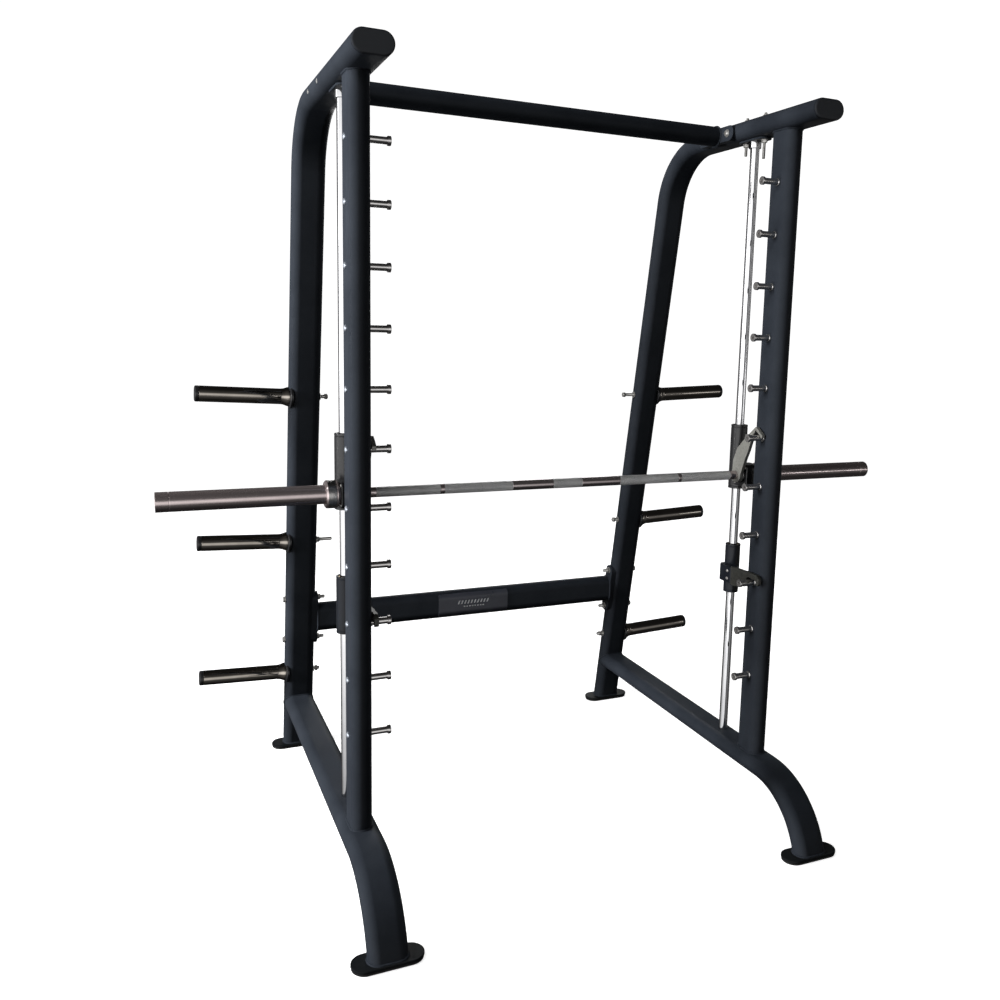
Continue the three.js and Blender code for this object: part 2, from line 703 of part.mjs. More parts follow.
function addRunningGear(parent, side) {
  add(parent, `carriage_${side.name}`, carriage(), 'black', 0, ROD.y, 0);
  add(parent, `carriage_bush_${side.name}`, bush(CARRIAGE, 4), 'bronze', 0, ROD.y, 0);
  add(parent, `safety_catch_${side.name}`, safetyCatch(side.sign), 'black', 0, ROD.y, 0);
  add(parent, `catch_bush_${side.name}`, bush(CATCH, 2), 'bronze', 0, ROD.y, 0);
}

function addBarbell() {
  const bar = new THREE.Group();
  bar.position.set(0, BAR.y, BAR.z);
  add(bar, 'bar_shaft', barShaft(), 'chrome');
  SIDES.forEach((side) => {
    const mirror = (geometry) => (side.sign > 0 ? geometry : geometry.scale(-1, 1, 1));
    add(bar, `bar_sleeve_${side.name}`, mirror(barSleeve()), 'chrome');
    add(bar, `bar_hook_${side.name}`, mirror(barHook()), 'steel');
  });
  machine.add(bar);
}

SIDES.forEach((side) => {
  const group = new THREE.Group();
  group.position.x = side.sign * SIDE_X;
  addSideFrame(group, side);
  addStuds(group, side);
  addPegs(group, side);
  addRunningGear(group, side);
  machine.add(group);
});
add(machine, 'top_crossbar', topCrossbar(), 'frame');
add(machine, 'rear_crossbar', rearCrossbar(), 'frame');
add(machine, 'name_plate', namePlate(), 'plate', 0, rearUprightY(REAR_CROSSBAR_Z), REAR_CROSSBAR_Z);
addBarbell();

export default machine;
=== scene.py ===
"""Looks for the smith machine: detailed pieces, materials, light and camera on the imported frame.

Lengths are millimetres in the row frame (X right, Y back, Z up) until a piece is made.
Side pieces are built for the right-hand side and mirrored for the left.
"""

from math import asin, atan, ceil, copysign, cos, hypot, pi, radians, sin, sqrt, tan

import bmesh
import bpy
from mathutils import Matrix, Vector


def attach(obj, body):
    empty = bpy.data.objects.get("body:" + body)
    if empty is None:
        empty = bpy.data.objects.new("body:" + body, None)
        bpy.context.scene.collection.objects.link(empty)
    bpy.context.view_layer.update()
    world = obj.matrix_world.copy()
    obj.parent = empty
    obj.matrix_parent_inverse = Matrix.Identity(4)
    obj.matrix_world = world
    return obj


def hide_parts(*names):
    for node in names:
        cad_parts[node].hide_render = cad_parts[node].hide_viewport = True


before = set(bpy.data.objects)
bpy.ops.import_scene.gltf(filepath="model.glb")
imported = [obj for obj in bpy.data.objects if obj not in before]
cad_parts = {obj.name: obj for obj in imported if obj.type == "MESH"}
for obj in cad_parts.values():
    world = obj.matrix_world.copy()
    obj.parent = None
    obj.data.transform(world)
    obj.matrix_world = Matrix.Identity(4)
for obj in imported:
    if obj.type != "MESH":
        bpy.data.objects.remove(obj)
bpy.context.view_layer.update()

# ---- Dimensions, as in the CAD ----

METRE = 0.001
SIDE_X = 630
TUBE_WIDE, TUBE_THICK = 100, 56
TUBE_EDGE = TUBE_THICK / 2
INNER_X, OUTER_X = SIDE_X - TUBE_WIDE / 2, SIDE_X + TUBE_WIDE / 2

TOP_RAIL_Z, TOP_RAIL_FRONT = 2129, -528
UNDERSIDE_Z, TOP_Z = TOP_RAIL_Z - TUBE_EDGE, TOP_RAIL_Z + TUBE_EDGE
BASE_RAIL_Z = 178
BASE_TOP_Z = BASE_RAIL_Z + TUBE_EDGE
UPRIGHT_Y = -350
TUBE_FOOT_Z = 7
CAP_SEAT, CAP_DEPTH = 6, 12
TUBE_OVERLAP = 2
LEAN = atan(0.185)
TOP_BEND, LEG_BEND = 204, 231
LEG_TURN = radians(73.6)

FOOT_LONG, FOOT_WIDE, FOOT_THICK, FOOT_Y = 180, 72, 14, 650
PAD_THICK = 6

TOP_BAR_Y, TOP_BAR_Z, TOP_BAR_RADIUS = -60, 2126, 30
REAR_BAR_Z = 497
FLANGE_THICK = 8
TOP_FLANGE, REAR_FLANGE = (190, 46), (194, 48)
TOP_BOLT_REACH, REAR_BOLT_REACH = 64, 77
REAR_BOLT_TAIL = 24
CROSSBAR_HALF = INNER_X - FLANGE_THICK + 1
PLATE_HALF_LENGTH, PLATE_HALF_HEIGHT, PLATE_CORNER = 135, 42, 7

ROD_Y, ROD_RADIUS, ROD_SUNK = -192, 14, 20
ROD_BOLT_REACH = 46
ROD_BOLT_TAILS = {-1: 62, 1: 42}
MOUNT_LONG, MOUNT_WIDE, MOUNT_THICK = 130, 48, 6

TOP_STUD_Z, STUD_PITCH, STUD_COUNT = 1955, 150, 11
STUD_HEIGHTS = [TOP_STUD_Z - STUD_PITCH * step for step in range(STUD_COUNT)]
STUD_RADIUS, STUD_HEAD_RADIUS, STUD_BASE_RADIUS = 9, 12, 11
STUD_REACH, STUD_HEAD = 56, 8

BAR_Y, BAR_Z, BAR_RADIUS, BAR_HALF = -246, 1076, 14, 1096
SLEEVE_START, SLEEVE_SHOULDER, SLEEVE_END = 657, 693, 1100
SLEEVE_RADIUS, COLLAR_RADIUS, HUB_RADIUS = 25, 37, 31
SLEEVE_GROOVE = 1068
HOOK_IN, HOOK_OUT = 586, 598
STUD_DISTANCE = hypot(BAR_Y - UPRIGHT_Y, 129)

CARRIAGE_LOW, CARRIAGE_HIGH, CARRIAGE_RADIUS = 1025, 1229, 26
BLOCK_FRONT, BLOCK_BACK, BLOCK_LOW, BLOCK_HIGH = -88, -16, 1040, 1110
CATCH_LOW, CATCH_HIGH, CATCH_RADIUS = 682, 841, 24
CATCH_BLOCK_LOW, CATCH_BLOCK_HIGH, CATCH_BLOCK_X = 725, 778, -46

PEG_HEIGHTS = {"upper": 1279, "middle": 786, "lower": 297}
# How far each bolt's thread stands out of the frame's inner face, and how far its nut stands off.
PEG_BOLTS = {
    "left": {"upper": (26, 15), "middle": (52, 0), "lower": (22, 6)},
    "right": {"upper": (48, 37), "middle": (24, 12), "lower": (26, 8)},
}
PEG_LENGTH, PEG_RADIUS, PEG_TILT = 282, 25, radians(2.4)
PEG_PLUG = 13

# Fastener sizes: bolt radius, nut across its corners, washer bore and washer edge.
M12, M12_NUT, M12_WASHER = 6, 20.5, (6.3, 11.5)
M10, M10_NUT, M10_WASHER = 5, 18, (5.3, 10.5)
WASHER_THICK = 1.6

SIDES = {"left": -1, "right": 1}
SMOOTH_SIDES = 64
BOLT_SIDES = 48
SHARP_ANGLE = radians(34)

ALONG_X = Matrix.Rotation(pi / 2, 4, "Y")
AGAINST_X = Matrix.Rotation(-pi / 2, 4, "Y")


def at(x, y, z, rotation=Matrix()):
    return Matrix.Translation((x, y, z)) @ rotation


BAR_PLACE = at(0, BAR_Y, BAR_Z, ALONG_X)


def rear_y(z):
    """Middle of the leaning rear upright at a height."""
    return 469 - tan(LEAN) * (z - 1000)


# ---- Mesh helpers ----

def skin(bm, rings, closed=False, caps=True):
    """Quads between rings of points; closed joins the last ring to the first."""
    loops = [[bm.verts.new(point) for point in ring] for ring in rings]
    for low, high in zip(loops, loops[1:] + (loops[:1] if closed else [])):
        for index in range(len(low)):
            after = (index + 1) % len(low)
            bm.faces.new((low[index], low[after], high[after], high[index]))
    if caps and not closed:
        bm.faces.new(loops[0][::-1])
        bm.faces.new(loops[-1])


def turn(bm, profile, place=Matrix(), sides=SMOOTH_SIDES, closed=False):
    """A turned form about local Z. A radius may be a function of the angle."""
    rings = []
    for radius, along in profile:
        reach = radius if callable(radius) else (lambda angle, fixed=radius: fixed)
        angles = [2 * pi * step / sides for step in range(sides)]
        rings.append([place @ Vector((reach(a) * cos(a), reach(a) * sin(a), along)) for a in angles])
    skin(bm, rings, closed, caps=False)


def rounded(points, radius, steps=3, closed=False):
    """A line of points with its corners rounded."""
    result = []
    last = len(points) - 1
    for index, point in enumerate(points):
        corner = Vector(point)
        before = Vector(points[index - 1]) - corner
        after = Vector(points[(index + 1) % len(points)]) - corner
        is_end = not closed and index in (0, last)
        if is_end or before.length < 1e-6 or after.length < 1e-6 or before.angle(after) > radians(172):
            result.append(tuple(corner))
            continue
        reach = min(radius / tan(before.angle(after) / 2), 0.49 * before.length, 0.49 * after.length)
        start = corner + before.normalized() * reach
        end = corner + after.normalized() * reach
        for step in range(steps + 1):
            t = step / steps
            result.append(tuple(start * (1 - t) ** 2 + corner * 2 * t * (1 - t) + end * t * t))
    return result


def polar(radius, degrees):
    return (radius * cos(radians(degrees)), radius * sin(radians(degrees)))


def rectangle(left, low, right, high):
    return [(left, low), (right, low), (right, high), (left, high)]


def tube_loop(inner, outer, low, high, edge, steps=3):
    """The section of a plain tube with rounded edges."""
    return rounded(rectangle(inner, low, outer, high), edge, steps, closed=True)


def oval(wide, thick, arc_steps=16, flat_steps=1):
    """Points round a flat oval, long side along x."""
    radius = thick / 2
    reach = wide / 2 - radius
    points = []
    for sign in (1, -1):
        for step in range(arc_steps + 1):
            angle = -pi / 2 + pi * step / arc_steps
            points.append((sign * (reach + radius * cos(angle)), sign * radius * sin(angle)))
        for step in range(1, flat_steps):
            points.append((sign * reach * (1 - 2 * step / flat_steps), sign * radius))
    return points


def inset(outline, distance):
    """A closed outline moved inwards; the outline runs anticlockwise."""
    result = []
    count = len(outline)
    for index, point in enumerate(outline):
        here = Vector(point)
        before = (here - Vector(outline[index - 1])).normalized()
        after = (Vector(outline[(index + 1) % count]) - here).normalized()
        inward = Vector((-before.y - after.y, before.x + after.x)).normalized()
        share = max(0.4, inward.dot(Vector((-after.y, after.x))))
        result.append(here + inward * distance / share)
    return result


def inset_rings(outline, levels, place):
    """Rings of an outline, each at an inset and a height along local Z."""
    return [[place @ Vector((x, y, z)) for x, y in inset(outline, depth)] for depth, z in levels]


def on_circle(circle, point):
    """The point of a circle (x, y, radius) nearest to a point."""
    x, y, radius = circle
    away = Vector((point[0] - x, point[1] - y)).normalized() * radius
    return (x + away.x, y + away.y)


def slab(bm, outline, low, high, place, edge, steps=3, bore=None):
    """An outline given a thickness along local Z, with rounded edges and perhaps a round bore."""
    quarter = [pi / 2 * step / steps for step in range(steps + 1)]
    levels = [(edge * (1 - sin(a)), low + edge * (1 - cos(a))) for a in quarter]
    levels += [(edge * (1 - sin(a)), high - edge * (1 - cos(a))) for a in reversed(quarter)]
    rings = inset_rings(outline, levels, place)
    if bore:
        hole = [on_circle(bore, point) for point in outline]
        rings += [[place @ Vector((*point, z)) for point in hole] for z in (high, low)]
    skin(bm, rings, closed=bool(bore))


def hexagon(across_corners):
    """The radius of a hexagon at an angle."""
    flat = across_corners / 2 * cos(pi / 6)
    return lambda angle: flat / cos((angle + pi / 6) % (pi / 3) - pi / 6)


def nut(bm, place, across_corners, height):
    """A hexagon with a coned top, standing on local Z = 0."""
    flat = across_corners / 2 * cos(pi / 6)
    shape = hexagon(across_corners)
    profile = [(0, 0), (lambda a: shape(a) - 0.5, 0), (shape, 0.5)]
    for depth in (2.2, 1.6, 1.1, 0.6, 0.3, 0):
        profile.append((lambda a, d=depth: min(shape(a), flat * 0.93 + d * 1.6), height - depth))
    profile.append((0, height))
    turn(bm, profile, place, BOLT_SIDES)


def washer(bm, place, inner, outer, thick=WASHER_THICK):
    turn(bm, tube_loop(inner, outer, 0, thick, 0.4, 2), place, BOLT_SIDES, closed=True)


def button_head(bm, place, radius, height, key):
    """A domed screw head with a hexagon socket."""
    socket = hexagon(key)
    dome = [(radius * cos(a), height * (0.25 + 0.75 * sin(a))) for a in (0, 0.35, 0.7, 1.0)]
    rim = key / 2 + 1.1
    profile = [(0, 0), (radius, 0), *dome, (rim, height), (rim - 0.4, height), (socket, height - 0.3)]
    profile += [(socket, height * 0.35), (0, height * 0.3)]
    turn(bm, profile, place, BOLT_SIDES)


def thread(bm, place, radius, length, pitch=1.75, sides=24):
    """A screw thread from local Z = 0 to its chamfered end."""
    depth = pitch * 0.42
    count = ceil(length / (pitch / 4))

    def radius_at(z):
        taper = min(1.0, max(0.0, (length - z) / (1.2 * pitch)))

        def reach(angle):
            phase = (z / pitch - angle / (2 * pi)) % 1
            return radius - depth * abs(2 * phase - 1) - (1 - taper) * depth
        return reach

    levels = [length * step / count for step in range(count + 1)]
    turn(bm, [(0, 0), *[(radius_at(z), z) for z in levels], (0, length)], place, sides)


def resample(points, spacing):
    """A closed path with its points an even distance apart."""
    points = [Vector(point) for point in points]
    lengths = [(points[(i + 1) % len(points)] - points[i]).length for i in range(len(points))]
    total = sum(lengths)
    count = max(8, round(total / spacing))
    result = []
    index, walked = 0, 0.0
    for step in range(count):
        target = total * step / count
        while walked + lengths[index] < target:
            walked += lengths[index]
            index += 1
        share = (target - walked) / lengths[index]
        result.append(points[index].lerp(points[(index + 1) % len(points)], share))
    return result


WELD_RADIUS, WELD_SPACING, WELD_RIPPLE = 3.4, 1.1, 3.3


def weld(bm, path, axis):
    """A rippled bead along a closed path that winds round an axis."""
    path = resample(path, WELD_SPACING)
    axis = Vector(axis).normalized()
    rings = []
    for index, point in enumerate(path):
        along = (path[(index + 1) % len(path)] - path[index - 1]).normalized()
        side = along.cross(axis).normalized()
        up = side.cross(along)
        ring = []
        for step in range(10):
            angle = 2 * pi * step / 10
            lag = index * WELD_SPACING + 1.3 * cos(angle)
            reach = WELD_RADIUS * (0.94 + 0.09 * abs(sin(pi * lag / WELD_RIPPLE)))
            ring.append(point + (side * cos(angle) + up * sin(angle)) * reach)
        rings.append(ring)
    skin(bm, rings, closed=True)


def bend(y, z, start, sweep, radius):
    """Stations (y, z, direction) round a bend; a direction is measured from +Y towards +Z."""
    count = ceil(abs(sweep) / radians(2))
    inward = start + copysign(pi / 2, sweep)
    centre_y, centre_z = y + radius * cos(inward), z + radius * sin(inward)
    result = []
    for step in range(count + 1):
        angle = sweep * step / count
        outward = inward + pi + angle
        y, z = centre_y + radius * cos(outward), centre_z + radius * sin(outward)
        result.append((y, z, start + angle))
    return result


def tube_rings(stations):
    """Rings of a flat oval tube that is swept in the side plane, long side across."""
    section = oval(TUBE_WIDE, TUBE_THICK)
    return [[Vector((x, y - t * sin(angle), z + t * cos(angle))) for x, t in section]
            for y, z, angle in stations]


def cut_level(ring, angle, z):
    """Moves a ring's points along a tube's direction to one height."""
    direction = Vector((0, cos(angle), sin(angle)))
    return [point + direction * (z - point.z) / direction.z for point in ring]


# ---- Materials ----

class Nodes:
    """Adds shader nodes to a tree; a value may be a number or another node's output."""

    def __init__(self, tree):
        self.tree = tree

    def feed(self, socket, value):
        if isinstance(value, bpy.types.NodeSocket):
            self.tree.links.new(value, socket)
        else:
            socket.default_value = value

    def new(self, kind):
        return self.tree.nodes.new(kind)

    def ramp(self, value, low, high, out_low=0.0, out_high=1.0):
        made = self.new("ShaderNodeMapRange")
        self.feed(made.inputs["Value"], value)
        limits = {"From Min": low, "From Max": high, "To Min": out_low, "To Max": out_high}
        for key, number in limits.items():
            made.inputs[key].default_value = number
        return made.outputs["Result"]

    def math(self, operation, first, second=0.0):
        made = self.new("ShaderNodeMath")
        made.operation = operation
        self.feed(made.inputs[0], first)
        self.feed(made.inputs[1], second)
        return made.outputs[0]


class Finish(Nodes):
    """Builds a material from noise layers in object coordinates, in metres."""

    def __init__(self, name, roughness, metallic=0.0, specular=0.5):
        self.material = bpy.data.materials.new(name)
        self.material.use_nodes = True
        super().__init__(self.material.node_tree)
        self.shader = self.tree.nodes["Principled BSDF"]
        self.shader.inputs["Metallic"].default_value = metallic
        self.shader.inputs["Roughness"].default_value = roughness
        self.shader.inputs["Specular IOR Level"].default_value = specular
        self.place = self.new("ShaderNodeTexCoord").outputs["Object"]
        self.normal = None

    def node(self, kind, **inputs):
        made = self.new(kind)
        for key, value in inputs.items():
            self.feed(made.inputs[key.replace("_", " ")], value)
        return made

    def noise(self, scale, detail=3.0, stretch=(1, 1, 1), roughness=0.55):
        moved = self.node("ShaderNodeMapping", Vector=self.place, Scale=stretch)
        made = self.node("ShaderNodeTexNoise", Vector=moved.outputs["Vector"], Scale=scale,
                         Detail=detail, Roughness=roughness)
        return made.outputs["Fac"]

    def mix(self, share, first, second):
        made = self.new("ShaderNodeMix")
        made.data_type = "RGBA"
        self.feed(made.inputs["Factor"], share)
        for socket, value in ((made.inputs[6], first), (made.inputs[7], second)):
            self.feed(socket, (*value, 1) if isinstance(value, tuple) else value)
        return made.outputs[2]

    def bump(self, height, distance, strength=1.0):
        made = self.node("ShaderNodeBump", Height=height, Distance=distance, Strength=strength)
        if self.normal:
            self.feed(made.inputs["Normal"], self.normal)
        self.normal = made.outputs["Normal"]

    def done(self, colour, roughness=None):
        self.feed(self.shader.inputs["Base Color"], colour)
        if roughness:
            self.feed(self.shader.inputs["Roughness"], roughness)
        if self.normal:
            self.feed(self.shader.inputs["Normal"], self.normal)
        return self.material

    def edges(self, low, high):
        """Where the surface is convex, for worn edges."""
        point = self.new("ShaderNodeNewGeometry").outputs["Pointiness"]
        return self.ramp(point, low, high)


def powder_coat(name, dark, light, rough_low, rough_high, grain=0.00022):
    """Textured powder paint: fine orange peel, faint clouding and a little dust."""
    make = Finish(name, 0.5, specular=0.08)
    cloud = make.noise(9, 4)
    speck = make.noise(2600, 2)
    tone = make.mix(make.ramp(cloud, 0.35, 0.7), dark, light)
    colour = make.mix(make.ramp(speck, 0.62, 0.74, 0, 0.35), tone, tuple(min(1, c * 2.4) for c in light))
    make.bump(make.noise(750, 3), grain, 0.55)
    make.bump(make.noise(2200, 2), grain * 0.4, 0.5)
    return make.done(colour, make.ramp(cloud, 0.3, 0.7, rough_low, rough_high))


def plated(name, colour, tint, rough_low, rough_high, stretch, scratch=0.00002, metallic=1.0):
    """Polished plating with drawn lines, faint haze and small scratches."""
    make = Finish(name, rough_low, metallic=metallic)
    haze = make.noise(14, 5)
    lines = make.noise(600, 4, stretch)
    tone = make.mix(make.ramp(haze, 0.35, 0.7), colour, tint)
    toned = make.mix(make.ramp(lines, 0.3, 0.75, 0, 0.25), tone, tuple(c * 0.72 for c in colour))
    make.bump(lines, scratch, 0.5)
    hazy = make.ramp(haze, 0.3, 0.75, rough_low, rough_high)
    return make.done(toned, make.math("ADD", hazy, make.ramp(lines, 0.5, 0.8, 0, 0.08)))


def knurled(name, colour, dark, metallic=0.7, pitch=0.0016, rough=(0.55, 0.3), depth=0.0004):
    """A diamond knurl round a bar that lies along X, with painted shade in its grooves."""
    make = Finish(name, 0.34, metallic=metallic)
    split = make.new("ShaderNodeSeparateXYZ")
    local = make.node("ShaderNodeVectorMath")
    local.operation = "SUBTRACT"
    make.feed(local.inputs[0], make.place)
    local.inputs[1].default_value = (0, BAR_Y * METRE, BAR_Z * METRE)
    make.feed(split.inputs["Vector"], local.outputs["Vector"])
    around = make.math("MULTIPLY", make.math("ARCTAN2", split.outputs["Y"], split.outputs["Z"]),
                       BAR_RADIUS * METRE)
    waves = []
    for sign in (1, -1):
        slope = make.math("ADD", split.outputs["X"], make.math("MULTIPLY", around, sign * 1.73))
        phase = make.math("FRACT", make.math("MULTIPLY", slope, 1 / pitch), 0)
        waves.append(make.math("ABSOLUTE", make.math("SUBTRACT", phase, 0.5), 0))
    height = make.math("MINIMUM", *waves)
    groove = make.ramp(height, 0.0, 0.16)
    make.bump(groove, depth, 1.0)
    worn = make.noise(30, 3)
    tone = make.mix(make.ramp(worn, 0.35, 0.7), colour, tuple(c * 0.85 for c in colour))
    # The grooves take the dark colour: painted shade in the hollows of the knurl.
    return make.done(make.mix(groove, dark, tone), make.ramp(groove, 0, 1, *rough))


def moulded(name, colour, light, rough_low, rough_high, grain=0.00012, specular=0.35):
    """Moulded plastic or rubber with a fine matt texture and pale scuffs."""
    make = Finish(name, rough_low, specular=specular)
    cloud = make.noise(16, 4)
    make.bump(make.noise(1400, 2), grain, 0.5)
    scuff = make.ramp(make.noise(120, 5, (1, 1, 6)), 0.68, 0.84, 0, 0.2)
    tone = make.mix(make.ramp(cloud, 0.3, 0.7), colour, light)
    return make.done(make.mix(scuff, tone, tuple(min(1, c * 3) for c in light)),
                     make.ramp(cloud, 0.3, 0.7, rough_low, rough_high))


def zinc_plate(name, colour, dark, edge, rough=(0.38, 0.55)):
    """Dull zinc-plated plate steel, brushed, with brighter worn edges."""
    make = Finish(name, 0.4, metallic=0.35)
    cloud = make.noise(45, 5)
    lines = make.noise(320, 4, (1, 1, 9))
    tone = make.mix(make.ramp(cloud, 0.35, 0.68), colour, dark)
    brushed = make.mix(make.ramp(lines, 0.45, 0.75, 0, 0.35), tone, edge)
    make.bump(lines, 0.00008, 0.5)
    make.bump(make.noise(1500, 2), 0.00005, 0.4)
    worn = make.math("MULTIPLY", make.edges(0.515, 0.58), make.ramp(make.noise(160, 4), 0.35, 0.6))
    return make.done(make.mix(worn, brushed, edge), make.ramp(cloud, 0.3, 0.7, *rough))


ALONG_PART_X, ALONG_PART_Z = (0.02, 1, 1), (1, 1, 0.02)
EVEN = (1, 1, 1)
MATERIALS = {
    "frame": powder_coat(
        "frame_powder_coat", (0.019, 0.0225, 0.029), (0.0265, 0.031, 0.039), 0.42, 0.54),
    "foot": powder_coat(
        "foot_powder_coat", (0.006, 0.007, 0.008), (0.010, 0.011, 0.012), 0.34, 0.46),
    "housing": moulded(
        "black_housing", (0.008, 0.008, 0.009), (0.012, 0.012, 0.013), 0.23, 0.32, 0.00005, 0.5),
    "block": moulded(
        "catch_block", (0.006, 0.007, 0.010), (0.009, 0.011, 0.015), 0.26, 0.36, 0.00005, 0.24),
    "cap": moulded(
        "cap_plastic", (0.012, 0.014, 0.018), (0.018, 0.021, 0.026), 0.5, 0.62),
    "rubber": moulded(
        "pad_rubber", (0.010, 0.010, 0.010), (0.02, 0.02, 0.02), 0.72, 0.85, 0.0002),
    "peg_cap": moulded(
        "peg_cap_plastic", (0.008, 0.008, 0.009), (0.016, 0.016, 0.017), 0.3, 0.42),
    "rod": plated(
        "rod_chrome", (0.60, 0.60, 0.61), (0.52, 0.52, 0.535), 0.06, 0.12, ALONG_PART_Z),
    "sleeve": plated(
        "sleeve_chrome", (0.53, 0.455, 0.45), (0.47, 0.40, 0.395), 0.16, 0.24, ALONG_PART_X,
        metallic=0.84),
    "bar": plated(
        "bar_satin_chrome", (0.56, 0.49, 0.49), (0.48, 0.42, 0.42), 0.12, 0.2, ALONG_PART_X,
        metallic=0.82),
    "stud": plated(
        "stud_chrome", (0.70, 0.68, 0.67), (0.60, 0.58, 0.57), 0.12, 0.2, (0.05, 1, 1),
        metallic=0.92),
    "peg": plated(
        "peg_black_chrome", (0.30, 0.274, 0.243), (0.22, 0.20, 0.178), 0.03, 0.07, ALONG_PART_X),
    "screw": plated(
        "screw_bright_zinc", (0.66, 0.71, 0.79), (0.56, 0.61, 0.69), 0.22, 0.34, EVEN, 0.00004, 0.8),
    "bolt": plated(
        "bolt_zinc", (0.62, 0.61, 0.59), (0.50, 0.49, 0.47), 0.28, 0.42, EVEN, 0.00004, 0.75),
    # The second colour of each knurl is painted shade for its grooves.
    "knurl": knurled(
        "bar_knurl", (0.95, 0.95, 0.95), (0.38, 0.38, 0.38)),
    "collar": knurled(
        "collar_knurl", (0.52, 0.50, 0.49), (0.16, 0.155, 0.15), 1.0, 0.0028, (0.26, 0.14), 0.00012),
    "hook": zinc_plate(
        "hook_zinc_plate", (0.26, 0.26, 0.236), (0.195, 0.195, 0.177), (0.48, 0.47, 0.44)),
    "catch_arm": zinc_plate(
        "catch_arm_steel", (0.028, 0.028, 0.024), (0.017, 0.017, 0.015), (0.10, 0.10, 0.09)),
    "bronze": plated(
        "bush_bronze", (0.55, 0.40, 0.20), (0.42, 0.30, 0.15), 0.3, 0.45, (1, 1, 0.2)),
    "plate": moulded(
        "name_plate_face", (0.050, 0.054, 0.070), (0.062, 0.067, 0.085), 0.26, 0.36, 0.00003),
    "mark": moulded(
        "name_plate_mark", (0.55, 0.56, 0.58), (0.66, 0.67, 0.69), 0.4, 0.5, 0.00003),
}


# ---- Pieces ----

def smooth_object(name, bm):
    """Makes a bmesh into an object with smooth faces."""
    for face in bm.faces:
        face.smooth = True
    mesh = bpy.data.meshes.new(name)
    bm.to_mesh(mesh)
    bm.free()
    made = bpy.data.objects.new(name, mesh)
    bpy.context.scene.collection.objects.link(made)
    return made


def piece(name, bm, finish, body, replaces=(), mirror=False, more=()):
    """Makes a bmesh in millimetres into a piece that rides on a CAD body."""
    bmesh.ops.remove_doubles(bm, verts=bm.verts, dist=1e-3)
    if mirror:
        bmesh.ops.scale(bm, vec=(-1, 1, 1), verts=bm.verts)
    bmesh.ops.recalc_face_normals(bm, faces=bm.faces)
    for edge in bm.edges:
        edge.smooth = len(edge.link_faces) == 2 and edge.calc_face_angle(0) < SHARP_ANGLE
    bmesh.ops.scale(bm, vec=(METRE, METRE, METRE), verts=bm.verts)
    made = smooth_object(name, bm)
    for key in (finish, *more):
        made.data.materials.append(MATERIALS[key])
    even = made.modifiers.new("even_normals", "WEIGHTED_NORMAL")
    even.keep_sharp = True
    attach(made, body)
    if replaces:
        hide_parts(*replaces)
    return made


def side_piece(name, side, bm, finish, body, replaces=(), more=()):
    return piece(f"{name}_{side}", bm, finish, body, replaces, SIDES[side] < 0, more)


# ---- Side frames ----

def shifted(rings):
    return [[point + Vector((SIDE_X, 0, 0)) for point in ring] for ring in rings]


def rear_frame(side):
    up = pi / 2 + LEAN
    sweep = pi - up
    start_z = TOP_RAIL_Z - TOP_BEND * tan(sweep / 2) * cos(LEAN)
    low = TUBE_FOOT_Z + 1
    stations = [(rear_y(low), low, up), *bend(rear_y(start_z), start_z, up, sweep, TOP_BEND)]
    stations.append((TOP_RAIL_FRONT + CAP_SEAT, TOP_RAIL_Z, pi))
    rings = tube_rings(stations)
    rings[0] = cut_level(rings[0], up, TUBE_FOOT_Z)
    bm = bmesh.new()
    skin(bm, shifted(rings))
    side_piece("side_tube_rear_and_top", side, bm, "frame", "frame", [f"rear_frame_{side}"])


def leg_stations():
    """Stations of the base rail from the rear upright to the foot of the front leg."""
    start_y = -FOOT_Y + LEG_BEND * sin(LEG_TURN)
    stations = bend(start_y, BASE_RAIL_Z, pi, LEG_TURN, LEG_BEND)
    y, z, angle = stations[-1]
    foot_y = y + (z - TUBE_FOOT_Z) / -sin(angle) * cos(angle)
    return [(rear_y(BASE_RAIL_Z), BASE_RAIL_Z, pi), *stations, (foot_y, TUBE_FOOT_Z, angle)]


def base_rail(side):
    stations = leg_stations()
    rings = tube_rings(stations)
    rings[-1] = cut_level(rings[-1], stations[-1][2], TUBE_FOOT_Z)
    bm = bmesh.new()
    skin(bm, shifted(rings))
    side_piece("side_tube_base", side, bm, "frame", "frame", [f"base_rail_{side}"])


def front_upright(side):
    bm = bmesh.new()
    outline = oval(TUBE_WIDE, TUBE_THICK)
    levels = (BASE_TOP_Z - TUBE_OVERLAP, UNDERSIDE_Z + TUBE_OVERLAP)
    skin(bm, [[Vector((SIDE_X + t, UPRIGHT_Y + w, z)) for w, t in outline] for z in levels])
    side_piece("side_tube_front", side, bm, "frame", "frame", [f"front_upright_{side}"])


def round_drop(x):
    """How far the surface of a rail falls away at a distance from its middle line."""
    past = abs(x) - (TUBE_WIDE / 2 - TUBE_EDGE)
    return TUBE_EDGE - sqrt(TUBE_EDGE ** 2 - past ** 2) if 0 < past < TUBE_EDGE else max(0, past)


